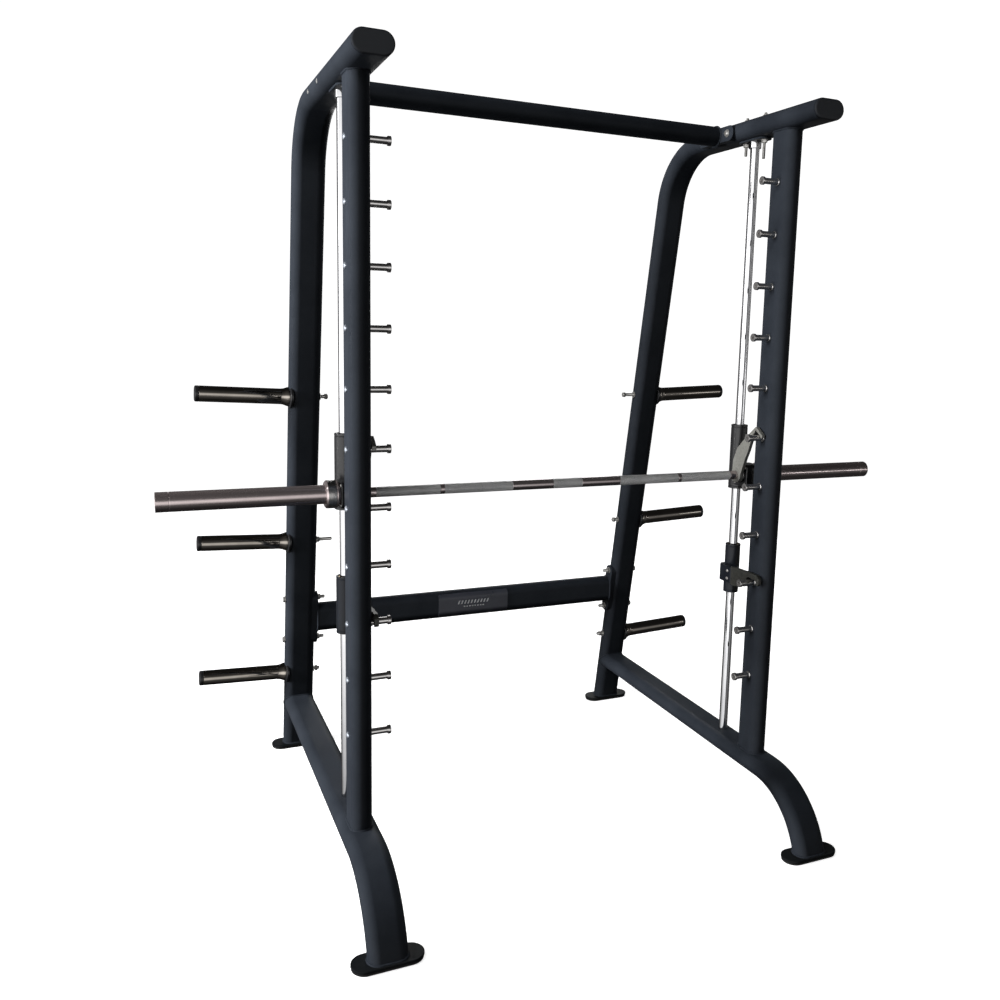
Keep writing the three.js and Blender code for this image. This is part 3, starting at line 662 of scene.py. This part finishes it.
def frame_welds(side):
    """Beads round the ends of the uprights, the base rail and the legs."""
    bm = bmesh.new()
    upright = oval(TUBE_WIDE, TUBE_THICK, 16, 8)
    for level, sign in ((BASE_TOP_Z, -1), (UNDERSIDE_Z, 1)):
        path = [(SIDE_X + t, UPRIGHT_Y + w, level + sign * round_drop(t)) for w, t in upright]
        weld(bm, path, (0, 0, 1))
    path = []
    for x, t in oval(TUBE_WIDE, TUBE_THICK, 24, 8):
        z = BASE_RAIL_Z + t
        depth = TUBE_EDGE - round_drop(min(abs(x), TUBE_WIDE / 2 - 0.6))
        path.append((SIDE_X + x * 0.994, rear_y(z) - depth / cos(LEAN), z))
    weld(bm, path, (0, 1, 0))
    ends = [(rear_y(FOOT_THICK), pi / 2 + LEAN), (-FOOT_Y, leg_stations()[-1][2])]
    for y, angle in ends:
        ring = cut_level(tube_rings([(y, FOOT_THICK, angle)])[0], angle, FOOT_THICK)
        weld(bm, shifted([ring])[0], (0, 0, 1))
    side_piece("frame_welds", side, bm, "frame", "frame")


def end_cap(side):
    bm = bmesh.new()
    place = at(SIDE_X, TOP_RAIL_FRONT, TOP_RAIL_Z, Matrix.Rotation(-pi / 2, 4, "X"))
    outline = oval(TUBE_WIDE - 0.8, TUBE_THICK - 0.8, 20)
    domed = [(9, 0), (5, 0.0), (3.2, 0.25), (1.6, 0.9), (0.5, 2.0), (0, 3.6)]
    skin(bm, inset_rings(outline, domed + [(0, 5.2), (1.2, 5.6), (1.2, CAP_DEPTH)], place))
    side_piece("rail_end_plug", side, bm, "cap", "frame", [f"end_cap_{side}"])


def feet(side):
    for end, sign in (("front", -1), ("rear", 1)):
        bm = bmesh.new()
        place = at(SIDE_X, sign * FOOT_Y, 0)
        slab(bm, oval(FOOT_LONG, FOOT_WIDE, 24), PAD_THICK, FOOT_THICK, place, 2.0)
        side_piece(f"foot_{end}", side, bm, "foot", "frame", [f"foot_plate_{end}_{side}"])
        bm = bmesh.new()
        slab(bm, oval(FOOT_LONG - 3, FOOT_WIDE - 3, 24), 0, PAD_THICK - 0.2, place, 1.5)
        side_piece(f"foot_pad_{end}", side, bm, "rubber", "frame")


# ---- Crossbars ----

def saddle(bm, size, place):
    """A flange whose flat face looks along local Z and whose back hugs a tube along local X."""
    outline = oval(*size, 20, 6)
    edge, bevel, bite = 1.5, 0.4, 0.4
    rings = inset_rings(outline, [(edge, FLANGE_THICK), (bevel, FLANGE_THICK - bevel)], place)
    rings.append([place @ Vector((x, y, FLANGE_THICK - edge)) for x, y in outline])
    back = [(x, y, sqrt(TUBE_EDGE ** 2 - y * y) - TUBE_EDGE - bite) for x, y in outline]
    rings.append([place @ Vector(point) for point in back])
    skin(bm, rings)


def flange_place(y, z, tilt):
    """Local X along the flange in the side plane, local Z towards the middle of the machine."""
    return at(INNER_X, y, z) @ Matrix.Rotation(tilt, 4, "X") @ Matrix(
        ((0, 0, -1, 0), (1, 0, 0, 0), (0, -1, 0, 0), (0, 0, 0, 1)))


def flange_bolts(side, name, places, tail):
    """A bolt head or a nut on its washer at each place, and a low end on the outer side."""
    bm = bmesh.new()
    face = INNER_X - FLANGE_THICK
    for y, z in places:
        washer(bm, at(face, y, z, AGAINST_X), *M12_WASHER)
        seat = at(face - WASHER_THICK, y, z, AGAINST_X)
        if tail:
            nut(bm, seat, M12_NUT, 9)
            thread(bm, seat, M12, tail)
            washer(bm, at(OUTER_X - 0.4, y, z, ALONG_X), *M12_WASHER, 1.4)
            nut(bm, at(OUTER_X + 0.8, y, z, ALONG_X), M12_NUT, 6.6)
        else:
            button_head(bm, seat, 9.5, 6.2, 8)
            button_head(bm, at(OUTER_X - 1.5, y, z, ALONG_X), 6.6, 2.6, 5)
    side_piece(name, side, bm, "bolt", "frame")


def ring_weld(bm, x, y, z, outline):
    weld(bm, [(x, y + dy, z + dz) for dy, dz in outline], (1, 0, 0))


def top_crossbar():
    circle = [polar(TOP_BAR_RADIUS, 7.5 * step) for step in range(48)]
    bm = bmesh.new()
    profile = rectangle(0, -CROSSBAR_HALF, TOP_BAR_RADIUS, CROSSBAR_HALF)
    turn(bm, profile, at(0, TOP_BAR_Y, TOP_BAR_Z, ALONG_X), 72)
    piece("top_crossbar_tube", bm, "frame", "frame", ["top_crossbar"])
    for side in SIDES:
        bm = bmesh.new()
        saddle(bm, TOP_FLANGE, flange_place(TOP_BAR_Y, TOP_BAR_Z, 0))
        ring_weld(bm, INNER_X - FLANGE_THICK, TOP_BAR_Y, TOP_BAR_Z, circle)
        side_piece("top_crossbar_flange", side, bm, "frame", "frame")
        places = [(TOP_BAR_Y + sign * TOP_BOLT_REACH, TOP_BAR_Z) for sign in (-1, 1)]
        flange_bolts(side, "top_crossbar_bolts", places, 0)


def rear_crossbar():
    y = rear_y(REAR_BAR_Z)
    ends = (-CROSSBAR_HALF, CROSSBAR_HALF)
    outline = oval(TUBE_WIDE, TUBE_THICK, 20)
    bm = bmesh.new()
    skin(bm, [[Vector((x, y + t, REAR_BAR_Z + w)) for w, t in outline] for x in ends])
    piece("rear_crossbar_tube", bm, "frame", "frame", ["rear_crossbar"])
    places = []
    for sign in (-1, 1):
        z = REAR_BAR_Z + sign * REAR_BOLT_REACH * cos(LEAN)
        places.append((rear_y(z), z))
    for side in SIDES:
        bm = bmesh.new()
        saddle(bm, REAR_FLANGE, flange_place(y, REAR_BAR_Z, pi / 2 + LEAN))
        weld_path = [(t, w) for w, t in oval(TUBE_WIDE, TUBE_THICK, 20, 6)]
        ring_weld(bm, INNER_X - FLANGE_THICK, y, REAR_BAR_Z, weld_path)
        side_piece("rear_crossbar_flange", side, bm, "frame", "frame")
        flange_bolts(side, "rear_crossbar_bolts", places, REAR_BOLT_TAIL)


PLATE_INNER, PLATE_OUTER = TUBE_EDGE + 0.25, TUBE_EDGE + 1.7


def wrapped(along, radius):
    """A point (y, z) of the name plate's section; along is measured upwards from its middle."""
    y, z = rear_y(REAR_BAR_Z), REAR_BAR_Z
    centre = TUBE_WIDE / 2 - TUBE_EDGE
    past = abs(along) - centre
    if past <= 0:
        return (y - radius, z + along)
    angle = past / PLATE_INNER
    return (y - radius * cos(angle), z + copysign(centre + radius * sin(angle), along))


def name_plate():
    """A thin blank plate wrapped over the front of the crossbar."""
    centre = TUBE_WIDE / 2 - TUBE_EDGE
    half_arc = centre + PLATE_INNER * asin(min(1, (PLATE_HALF_HEIGHT - centre) / PLATE_INNER))
    corners = rectangle(-PLATE_HALF_LENGTH, -half_arc, PLATE_HALF_LENGTH, half_arc)
    outline = rounded(corners, PLATE_CORNER, 6, closed=True)
    between = {-PLATE_HALF_LENGTH + 10 * step for step in range(1, 27)}
    columns = sorted({round(x, 4) for x, _ in outline} | between)
    rows = 24
    bm = bmesh.new()
    rims = []
    for radius, shrink in ((PLATE_OUTER, 0.7), (PLATE_INNER, 0)):
        grid = []
        for x in columns:
            edge = max(0, abs(x) - (PLATE_HALF_LENGTH - PLATE_CORNER))
            limit = half_arc - PLATE_CORNER + sqrt(max(0, PLATE_CORNER ** 2 - edge ** 2)) - shrink
            heights = [limit * (2 * row / rows - 1) for row in range(rows + 1)]
            grid.append([bm.verts.new((x, *wrapped(height, radius))) for height in heights])
        for low, high in zip(grid, grid[1:]):
            for row in range(rows):
                bm.faces.new((low[row], low[row + 1], high[row + 1], high[row]))
        rim = [column[0] for column in grid] + grid[-1][1:]
        rim += [column[-1] for column in grid[-2::-1]] + grid[0][-2:0:-1]
        rims.append(rim)
    outer, inner = rims
    for index in range(len(outer)):
        after = (index + 1) % len(outer)
        bm.faces.new((outer[index], outer[after], inner[after], inner[index]))
    piece("blank_name_plate", bm, "plate", "frame", ["name_plate"])


def name_plate_pattern():
    """A row of slanted dashes over a row of short ones, which stand for no mark."""
    bm = bmesh.new()
    face = at(0, rear_y(REAR_BAR_Z) - PLATE_OUTER + 0.1, REAR_BAR_Z, Matrix.Rotation(pi / 2, 4, "X"))
    slanted = [(-4.5, 2), (0.5, 2), (5.5, 15), (0.5, 15)]
    short = rectangle(-3, -10, 3, -6.5)
    for dash, first, pitch, count in ((slanted, -58, 12.5, 10), (short, -36, 10.5, 8)):
        for step in range(count):
            moved = [(first + pitch * step + x, y) for x, y in dash]
            slab(bm, moved, 0, 0.5, face, 0.15, 1)
    piece("name_plate_pattern", bm, "mark", "frame")


# ---- Guide rods ----

def guide_rod(side):
    bm = bmesh.new()
    low, high = BASE_TOP_Z - ROD_SUNK, UNDERSIDE_Z - 0.3
    profile = rounded(rectangle(0, low, ROD_RADIUS, high), 1.2)
    turn(bm, profile, at(SIDE_X, ROD_Y, 0))
    side_piece("guide_rod_chromed", side, bm, "rod", "frame", [f"guide_rod_{side}"])


def rod_mount(side):
    place = at(SIDE_X, ROD_Y, UNDERSIDE_Z, Matrix.Rotation(pi / 2, 4, "Z"))
    bm = bmesh.new()
    slab(bm, oval(MOUNT_LONG, MOUNT_WIDE, 20), -MOUNT_THICK, 0, place, 1.2)
    side_piece("rod_mount_plate", side, bm, "frame", "frame", [f"rod_mount_{side}"])
    bm = bmesh.new()
    loop = tube_loop(ROD_RADIUS + 0.2, 19, UNDERSIDE_Z - 26, UNDERSIDE_Z - 5, 1.4)
    turn(bm, loop, at(SIDE_X, ROD_Y, 0), closed=True)
    side_piece("rod_collar", side, bm, "rod", "frame")
    bm = bmesh.new()
    down = Matrix.Rotation(pi, 4, "X")
    seat = UNDERSIDE_Z - MOUNT_THICK
    for sign, tail in ROD_BOLT_TAILS.items():
        y = ROD_Y + sign * ROD_BOLT_REACH
        washer(bm, at(SIDE_X, y, TOP_Z), *M10_WASHER)
        nut(bm, at(SIDE_X, y, TOP_Z + WASHER_THICK), M10_NUT, 8)
        thread(bm, at(SIDE_X, y, TOP_Z), M10, 15.8)
        washer(bm, at(SIDE_X, y, seat, down), *M10_WASHER)
        nut(bm, at(SIDE_X, y, seat - WASHER_THICK, down), M10_NUT, 8)
        thread(bm, at(SIDE_X, y, seat, down), M10, tail - MOUNT_THICK)
    side_piece("rod_mount_bolts", side, bm, "bolt", "frame")


# ---- Studs ----

def studs(side):
    """Latch studs on the inner face of an upright, each with a screw head on the outer face."""
    inner_face = SIDE_X - TUBE_EDGE
    socket = hexagon(8)
    end, neck = STUD_REACH, STUD_REACH - STUD_HEAD
    base = [(0, -6), (STUD_BASE_RADIUS, -6), (STUD_BASE_RADIUS, 1.5), (STUD_RADIUS, 2.5)]
    head = [(STUD_RADIUS, neck - 1), (STUD_RADIUS + 0.6, neck), (STUD_HEAD_RADIUS, neck)]
    body = rounded([*base, *head, (STUD_HEAD_RADIUS, end), (7, end)], 0.8)
    profile = body + [(5.4, end), (socket, end - 0.4), (socket, end - 6), (0, end - 7)]
    for number, z in enumerate(STUD_HEIGHTS, 1):
        bm = bmesh.new()
        turn(bm, profile, at(inner_face, UPRIGHT_Y, z, AGAINST_X), BOLT_SIDES)
        stud = f"{side}_{number:02d}"
        side_piece(f"latch_stud_{number:02d}", side, bm, "stud", "frame", [f"hook_stud_{stud}"])
    bm = bmesh.new()
    for z in STUD_HEIGHTS:
        button_head(bm, at(SIDE_X + TUBE_EDGE - 0.3, UPRIGHT_Y, z, ALONG_X), 8.6, 5.2, 5)
    side_piece("stud_screw_heads", side, bm, "screw", "frame")


# ---- Barbell ----

KNURL_ZONES = ((0, 46), (171, 371), (383, 560))
KNURL_GROOVE = 0.35
COLLAR_GRAIN = (667.2, 688.8)


def bar_shaft():
    """The shaft, with knurled grips, a centre knurl and a smooth ring in each grip."""
    cuts = sorted({x for zone in KNURL_ZONES for x in zone if x})
    stops = [-x for x in reversed(cuts)] + cuts
    edge = [(BAR_RADIUS, BAR_HALF - 2), (BAR_RADIUS - 0.6, BAR_HALF - 0.6),
            (BAR_RADIUS - 2, BAR_HALF), (0, BAR_HALF)]
    groove = [(0, -0.8), (KNURL_GROOVE, -0.4), (KNURL_GROOVE, 0.4), (0, 0.8)]
    profile = [(radius, -x) for radius, x in reversed(edge)]
    for stop in stops:
        profile += [(BAR_RADIUS - depth, stop + x) for depth, x in groove]
    profile += edge
    bm = bmesh.new()
    turn(bm, profile, BAR_PLACE, 72)
    for face in bm.faces:
        x = abs(face.calc_center_median().x)
        if any(low <= x < high for low, high in KNURL_ZONES):
            face.material_index = 1
    piece("bar_shaft_chromed", bm, "bar", "bar", ["bar_shaft"], more=["knurl"])


def bar_sleeve(side):
    """A plate sleeve: a collar with a grained band, the loading length and a recessed end."""
    bore = BAR_RADIUS + 0.6
    start, shoulder, groove, end = SLEEVE_START, SLEEVE_SHOULDER, SLEEVE_GROOVE, SLEEVE_END
    wide, radius = COLLAR_RADIUS, SLEEVE_RADIUS
    loop = [(bore, start), (HUB_RADIUS, start), (HUB_RADIUS, start + 3.6)]
    loop += [(wide - 1.6, start + 4), (wide, start + 5.6)]
    loop += [(wide, start + 8), (wide - 1, start + 9), (wide, start + 10)]
    loop += [(wide, shoulder - 4), (wide - 3.8, shoulder), (radius, shoulder)]
    loop += [(radius, groove - 0.6), (radius - 0.5, groove)]
    loop += [(radius - 0.5, groove + 1), (radius, groove + 1.6)]
    loop += [(radius, end), (radius - 5, end), (radius - 5, end - 6), (bore, end - 6)]
    bm = bmesh.new()
    turn(bm, rounded(loop, 0.8, 3, closed=True), BAR_PLACE, 80, closed=True)
    for face in bm.faces:
        middle = face.calc_center_median()
        in_band = COLLAR_GRAIN[0] < middle.x < COLLAR_GRAIN[1]
        if in_band and hypot(middle.y - BAR_Y, middle.z - BAR_Z) > COLLAR_RADIUS - 1:
            face.material_index = 1
    body = f"sleeve_{side}"
    side_piece("plate_sleeve", side, bm, "sleeve", body, [f"bar_sleeve_{side}"], ["collar"])
    bm = bmesh.new()
    turn(bm, tube_loop(bore, 19.6, end - 5.9, end - 3.6, 0.5, 2), BAR_PLACE, 64, closed=True)
    side_piece("sleeve_end_ring", side, bm, "bolt", body)


def side_plate(bm, outline, low, high, place, edge, bore=None):
    """A plate whose outline's x runs along Y and whose y runs along Z."""
    turned = place @ Matrix(((0, 0, 1, 0), (1, 0, 0, 0), (0, 1, 0, 0), (0, 0, 0, 1)))
    slab(bm, outline, low, high, turned, edge, bore=bore)


def bar_hook(side):
    """A cranked plate on the bar whose tip curls over a stud."""
    inner = STUD_DISTANCE + 9.8
    outer = inner + 9
    outline = [(19, 13), (17, 47), (-2, 87), (-46, 127), (-66, 143)]
    outline += [polar(outer, angle) for angle in (119, 121, 123, 125, 127, 129, 131.5)]
    outline += [polar(inner, angle) for angle in (133.5, 131, 129, 127, 125, 123, 121)]
    outline += [(-78, 134), (-71, 118), (-58, 84), (-44, 56), (-22, 0), (-12, -16), (6, -18)]
    outline = rounded(outline, 3.5, 3, closed=True)
    bm = bmesh.new()
    side_plate(bm, outline, HOOK_IN, HOOK_OUT, at(0, BAR_Y, BAR_Z), 1.4)
    bore, low, high = BAR_RADIUS + 0.1, HOOK_IN - 1.5, HOOK_OUT + 1.5
    hub = [(bore, low), (22, low), (24, HOOK_IN), (24, HOOK_OUT), (22, high), (bore, high)]
    turn(bm, rounded(hub, 0.8, 2, closed=True), BAR_PLACE, 64, closed=True)
    side_piece("latch_hook", side, bm, "hook", "bar", [f"bar_hook_{side}"])


# ---- Carriages and catches ----

def grooved_loop(inner, outer, low, high, depth):
    """The section of a tube with a shallow groove near each end."""
    groove = [(outer, 6), (outer - depth, 6.6), (outer - depth, 8), (outer, 8.6)]
    loop = [(inner, low), (outer, low), *[(radius, low + along) for radius, along in groove]]
    loop += [(radius, high - along) for radius, along in reversed(groove)]
    return rounded([*loop, (outer, high), (inner, high)], 1.0, 2, closed=True)


def carriage(side):
    """A tube on the rod with a block in front of it that carries the bar."""
    place = at(SIDE_X, ROD_Y, 0)
    half = CARRIAGE_RADIUS
    bm = bmesh.new()
    turn(bm, grooved_loop(20.3, half, CARRIAGE_LOW, CARRIAGE_HIGH, 0.7), place, closed=True)
    corners = rectangle(BLOCK_FRONT, BLOCK_LOW, BLOCK_BACK, BLOCK_HIGH)
    block = resample(rounded(corners, 13, 6, closed=True), 4)
    side_plate(bm, block, -half, half, place, 2.2, (BAR_Y - ROD_Y, BAR_Z, BAR_RADIUS + 1))
    side_piece("carriage_housing", side, bm, "housing", "carriages", [f"carriage_{side}"])
    bm = bmesh.new()
    ring = tube_loop(BAR_RADIUS + 0.6, 20, -2, 0.9, 0.5)
    for x, facing in ((SIDE_X - half, AGAINST_X), (SIDE_X + half, ALONG_X)):
        turn(bm, ring, at(x, BAR_Y, BAR_Z, facing), 64, closed=True)
        for dy, dz in ((-25, -27), (-25, 25), (27, -27), (27, 25)):
            button_head(bm, at(x, BAR_Y + dy, BAR_Z + dz, facing), 4.2, 1.6, 3)
    side_piece("carriage_bearing_rings", side, bm, "bolt", "carriages")
    bm = bmesh.new()
    liner = tube_loop(ROD_RADIUS + 0.5, 19.8, CARRIAGE_LOW + 4, CARRIAGE_HIGH - 4, 0.6)
    turn(bm, liner, place, closed=True)
    side_piece("carriage_liner", side, bm, "bronze", "carriages", [f"carriage_bush_{side}"])


def safety_catch(side):
    """A sleeve on the rod, a block on its inner side and an arm plate set into the block."""
    place = at(SIDE_X, ROD_Y, 0)
    body = f"catch_{side}"
    bm = bmesh.new()
    turn(bm, grooved_loop(19.3, CATCH_RADIUS, CATCH_LOW, CATCH_HIGH, 0.6), place, closed=True)
    inner_x = CATCH_BLOCK_X
    plan = [(inner_x, 0), (inner_x, -56), (inner_x + 6, -64), (-26, -64), (-6, -44)]
    plan += [polar(CATCH_RADIUS - 2.5, angle) for angle in range(260, 139, -15)] + [(-36, 12)]
    slab(bm, rounded(plan, 3, 3, closed=True), CATCH_BLOCK_LOW, CATCH_BLOCK_HIGH, place, 2.0)
    side_piece("catch_housing", side, bm, "block", body, [f"safety_catch_{side}"])
    top = [(-50, 776), (-60, 781), (-150, 785), (-190, 784), (-201, 774), (-201, 758)]
    recess = [(-196, 751), (-189, 755), (-187, 763), (-181, 768.5), (-146, 768.5), (-140, 762)]
    below = [(-139, 742), (-133, 735), (-80, 722), (-50, 724)]
    outline = rounded(top + recess + below, 2.5, 3, closed=True)
    bm = bmesh.new()
    side_plate(bm, outline, HOOK_IN - SIDE_X, HOOK_OUT - SIDE_X, place, 1.3)
    side_piece("catch_arm", side, bm, "catch_arm", body)
    bm = bmesh.new()
    for z in (739, 764):
        button_head(bm, at(SIDE_X + inner_x - 0.3, ROD_Y - 42, z, AGAINST_X), 5.2, 2.6, 4)
    side_piece("catch_screws", side, bm, "bolt", body)
    bm = bmesh.new()
    liner = tube_loop(ROD_RADIUS + 0.5, 18.8, CATCH_LOW + 2, CATCH_HIGH - 2, 0.6)
    turn(bm, liner, place, closed=True)
    side_piece("catch_liner", side, bm, "bronze", f"catch_slider_{side}", [f"catch_bush_{side}"])


# ---- Storage pegs ----

def storage_peg(side, level):
    """A tilted peg with a flared root, a flange, an end plug and its bolt inside the frame."""
    z = PEG_HEIGHTS[level]
    y = rear_y(z)
    place = at(OUTER_X, y, z) @ Matrix.Rotation(-PEG_TILT, 4, "Y") @ ALONG_X
    bm = bmesh.new()
    flare = [(31, -6), (31, 1), (30, 5), (28, 10), (26.4, 15), (25.4, 20), (PEG_RADIUS, 26)]
    end = PEG_LENGTH - PEG_PLUG
    turn(bm, [(0, -6), *flare, (PEG_RADIUS, end - 0.8), (PEG_RADIUS - 0.8, end), (0, end)], place, 72)
    side_piece(f"peg_tube_{level}", side, bm, "peg", "frame", [f"storage_peg_{level}_{side}"])
    bm = bmesh.new()
    turn(bm, rounded([(0, -13), (38, -13), (38, -5), (31.5, -2.5), (0, -2.5)], 1.6), place, 72)
    side_piece(f"peg_flange_{level}", side, bm, "housing", "frame")
    bm = bmesh.new()
    tip = [(0, end + 0.3), (PEG_RADIUS - 0.5, end + 0.3), (PEG_RADIUS, end + 1)]
    tip += [(PEG_RADIUS, PEG_LENGTH - 4), (PEG_RADIUS - 1.2, PEG_LENGTH - 1.2)]
    tip += [(PEG_RADIUS - 4, PEG_LENGTH), (0, PEG_LENGTH)]
    turn(bm, rounded(tip, 1.2), place, 72)
    side_piece(f"peg_end_plug_{level}", side, bm, "peg_cap", "frame")
    bm = bmesh.new()
    tail, gap = PEG_BOLTS[side][level]
    washer(bm, at(INNER_X + 0.2, y, z, AGAINST_X), *M12_WASHER)
    nut(bm, at(INNER_X - max(gap, 1.4), y, z, AGAINST_X), 19.6, 9)
    thread(bm, at(INNER_X + 0.2, y, z, AGAINST_X), M12, tail)
    side_piece(f"peg_bolt_{level}", side, bm, "bolt", "frame")


for side in SIDES:
    for build in (rear_frame, base_rail, front_upright, frame_welds, end_cap, feet, guide_rod, rod_mount,
                  studs, bar_sleeve, bar_hook, carriage, safety_catch):
        build(side)
    for level in PEG_HEIGHTS:
        storage_peg(side, level)
top_crossbar()
rear_crossbar()
name_plate()
name_plate_pattern()
bar_shaft()


# ---- Floor, light and camera ----

STAGE_RADIUS, STAGE_HEIGHT, STAGE_CURVE, STAGE_GAP = 9.0, 14.0, 3.0, 0.0005


def stage_bowl():
    """A white floor that curves up into a wall all round; it throws no light on the object."""
    make = Finish("studio_white", 0.7, specular=0.1)
    distance = make.node("ShaderNodeVectorMath")
    distance.operation = "LENGTH"
    make.feed(distance.inputs[0], make.place)
    shade = make.noise(1.5, 2)
    make.shader.inputs["Emission Color"].default_value = (1, 1, 1, 1)
    glow = make.ramp(distance.outputs["Value"], 1.0, 3.5, 0.8, 1.0)
    make.feed(make.shader.inputs["Emission Strength"], glow)
    material = make.done(make.mix(make.ramp(shade, 0.3, 0.7), (0.80, 0.80, 0.80), (0.84, 0.84, 0.84)))
    curve = STAGE_CURVE
    arc = [radians(angle) for angle in range(-90, 1, 10)]
    profile = [(0, 0), *[(STAGE_RADIUS + curve * cos(a), curve + curve * sin(a)) for a in arc]]
    profile += [(STAGE_RADIUS + curve, STAGE_HEIGHT), (0, STAGE_HEIGHT)]
    bm = bmesh.new()
    turn(bm, profile, at(0, 0, -STAGE_GAP), 96)
    bmesh.ops.remove_doubles(bm, verts=bm.verts, dist=1e-5)
    bmesh.ops.recalc_face_normals(bm, faces=bm.faces)
    bmesh.ops.reverse_faces(bm, faces=bm.faces)
    made = smooth_object("studio_stage", bm)
    made.data.materials.append(material)
    made.visible_diffuse = False
    made.visible_glossy = False
    made.visible_shadow = False


def area_light(name, place, target, size, power, in_gloss, colour=(1, 1, 1)):
    data = bpy.data.lights.new(name, "AREA")
    data.shape = "RECTANGLE"
    data.size, data.size_y = size
    data.energy = power
    data.color = colour
    made = bpy.data.objects.new(name, data)
    bpy.context.scene.collection.objects.link(made)
    made.location = place
    made.rotation_euler = (Vector(target) - Vector(place)).to_track_quat("-Z", "Y").to_euler()
    made.visible_camera = False
    made.visible_glossy = in_gloss


# Where the lights point, and each light's name, place, size, power in watts and use in reflections.
MIDDLE = (0, -0.1, 1.1)
SIDE_LIGHTS = (
    ("fill", (0.5, -5.0, 2.6), (2.5, 2.0), 6, False),
    ("back", (1.6, 4.8, 2.6), (2.4, 2.0), 50, True),
    ("side_strip", (-4.8, 0.2, 2.1), (0.5, 2.6), 450, False),
    ("side_gleam", (-4.7, 0.2, 2.1), (0.5, 2.6), 26, True),
    ("right_strip", (4.6, -2.2, 1.7), (0.3, 2.4), 5, True),
    ("right_back", (3.4, 1.5, 2.6), (1.2, 1.2), 32, False),
)


def studio_lights():
    """A key from the upper left, soft lights all round and a gleam for the right sleeve."""
    area_light("key", (-2.65, -1.05, 3.95), MIDDLE, (1.3, 1.3), 60, False, (1.0, 0.99, 0.98))
    for name, place, size, power, in_gloss in SIDE_LIGHTS:
        area_light(name, place, MIDDLE, size, power, in_gloss)
    area_light("sleeve_gleam", (4.2, -4.1, 1.0), (0.9, -0.25, 1.08), (1.0, 0.5), 5, True)


# How bright the surroundings are at each height of the view, from straight down to straight up.
SURROUNDINGS = (
    (-1, 0.16), (-0.5, 0.3), (-0.3, 1.9), (-0.05, 2.4), (0.18, 1.8), (0.34, 0.3), (0.7, 0.15), (1, 0.1))
BRIGHT_WAY = (-0.75, -0.65)
FAINT_GLOW = 0.015


def world_light():
    """Dim surroundings for reflections, brightest in front and to the left, just below eye level."""
    world = bpy.data.worlds.new("studio")
    bpy.context.scene.world = world
    world.use_nodes = True
    make = Nodes(world.node_tree)
    background = make.tree.nodes["Background"]
    place = make.new("ShaderNodeTexCoord").outputs["Generated"]
    split = make.new("ShaderNodeSeparateXYZ")
    make.feed(split.inputs["Vector"], place)
    facing = make.math("ADD", make.math("MULTIPLY", split.outputs["X"], BRIGHT_WAY[0]),
                       make.math("MULTIPLY", split.outputs["Y"], BRIGHT_WAY[1]))
    front = make.ramp(facing, 0.1, 0.9, 0.06, 1.0)
    levels = make.new("ShaderNodeValToRGB")
    make.feed(levels.inputs["Fac"], make.ramp(split.outputs["Z"], -1, 1))
    heights = levels.color_ramp.elements
    for height, _ in SURROUNDINGS[2:]:
        heights.new((height + 1) / 2)
    for element, (height, glow) in zip(heights, SURROUNDINGS):
        element.position = (height + 1) / 2
        element.color = (glow, glow, glow, 1)
    strength = make.math("ADD", make.math("MULTIPLY", front, levels.outputs["Color"]), FAINT_GLOW)
    background.inputs["Color"].default_value = (1, 1, 1, 1)
    make.feed(background.inputs["Strength"], strength)
    world.cycles_visibility.diffuse = False


CAMERA_PLACE = (-1.1559, -2.6919, 1.5189)
CAMERA_TURN = (24.338, -8.56, 1.487)
CAMERA_LENS, CAMERA_SENSOR, CAMERA_SHIFT = 34.116, 36, (-0.0513, -0.0297)


def camera():
    """A camera at the photograph's viewing angle, turned by its yaw, pitch and roll."""
    yaw, pitch, roll = (radians(angle) for angle in CAMERA_TURN)
    ahead = Vector((sin(yaw) * cos(pitch), cos(yaw) * cos(pitch), sin(pitch)))
    right = Vector((cos(yaw), -sin(yaw), 0))
    up = right.cross(ahead)
    right, up = right * cos(roll) + up * sin(roll), up * cos(roll) - right * sin(roll)
    data = bpy.data.cameras.new("camera")
    data.sensor_width = CAMERA_SENSOR
    data.lens = CAMERA_LENS
    data.shift_x, data.shift_y = CAMERA_SHIFT
    data.clip_end = 200
    made = bpy.data.objects.new("camera", data)
    bpy.context.scene.collection.objects.link(made)
    turned = Matrix((right, up, -ahead)).transposed().to_4x4()
    made.matrix_world = Matrix.Translation(CAMERA_PLACE) @ turned
    bpy.context.scene.camera = made


stage_bowl()
studio_lights()
world_light()
camera()
bpy.context.scene.view_settings.view_transform = "Standard"
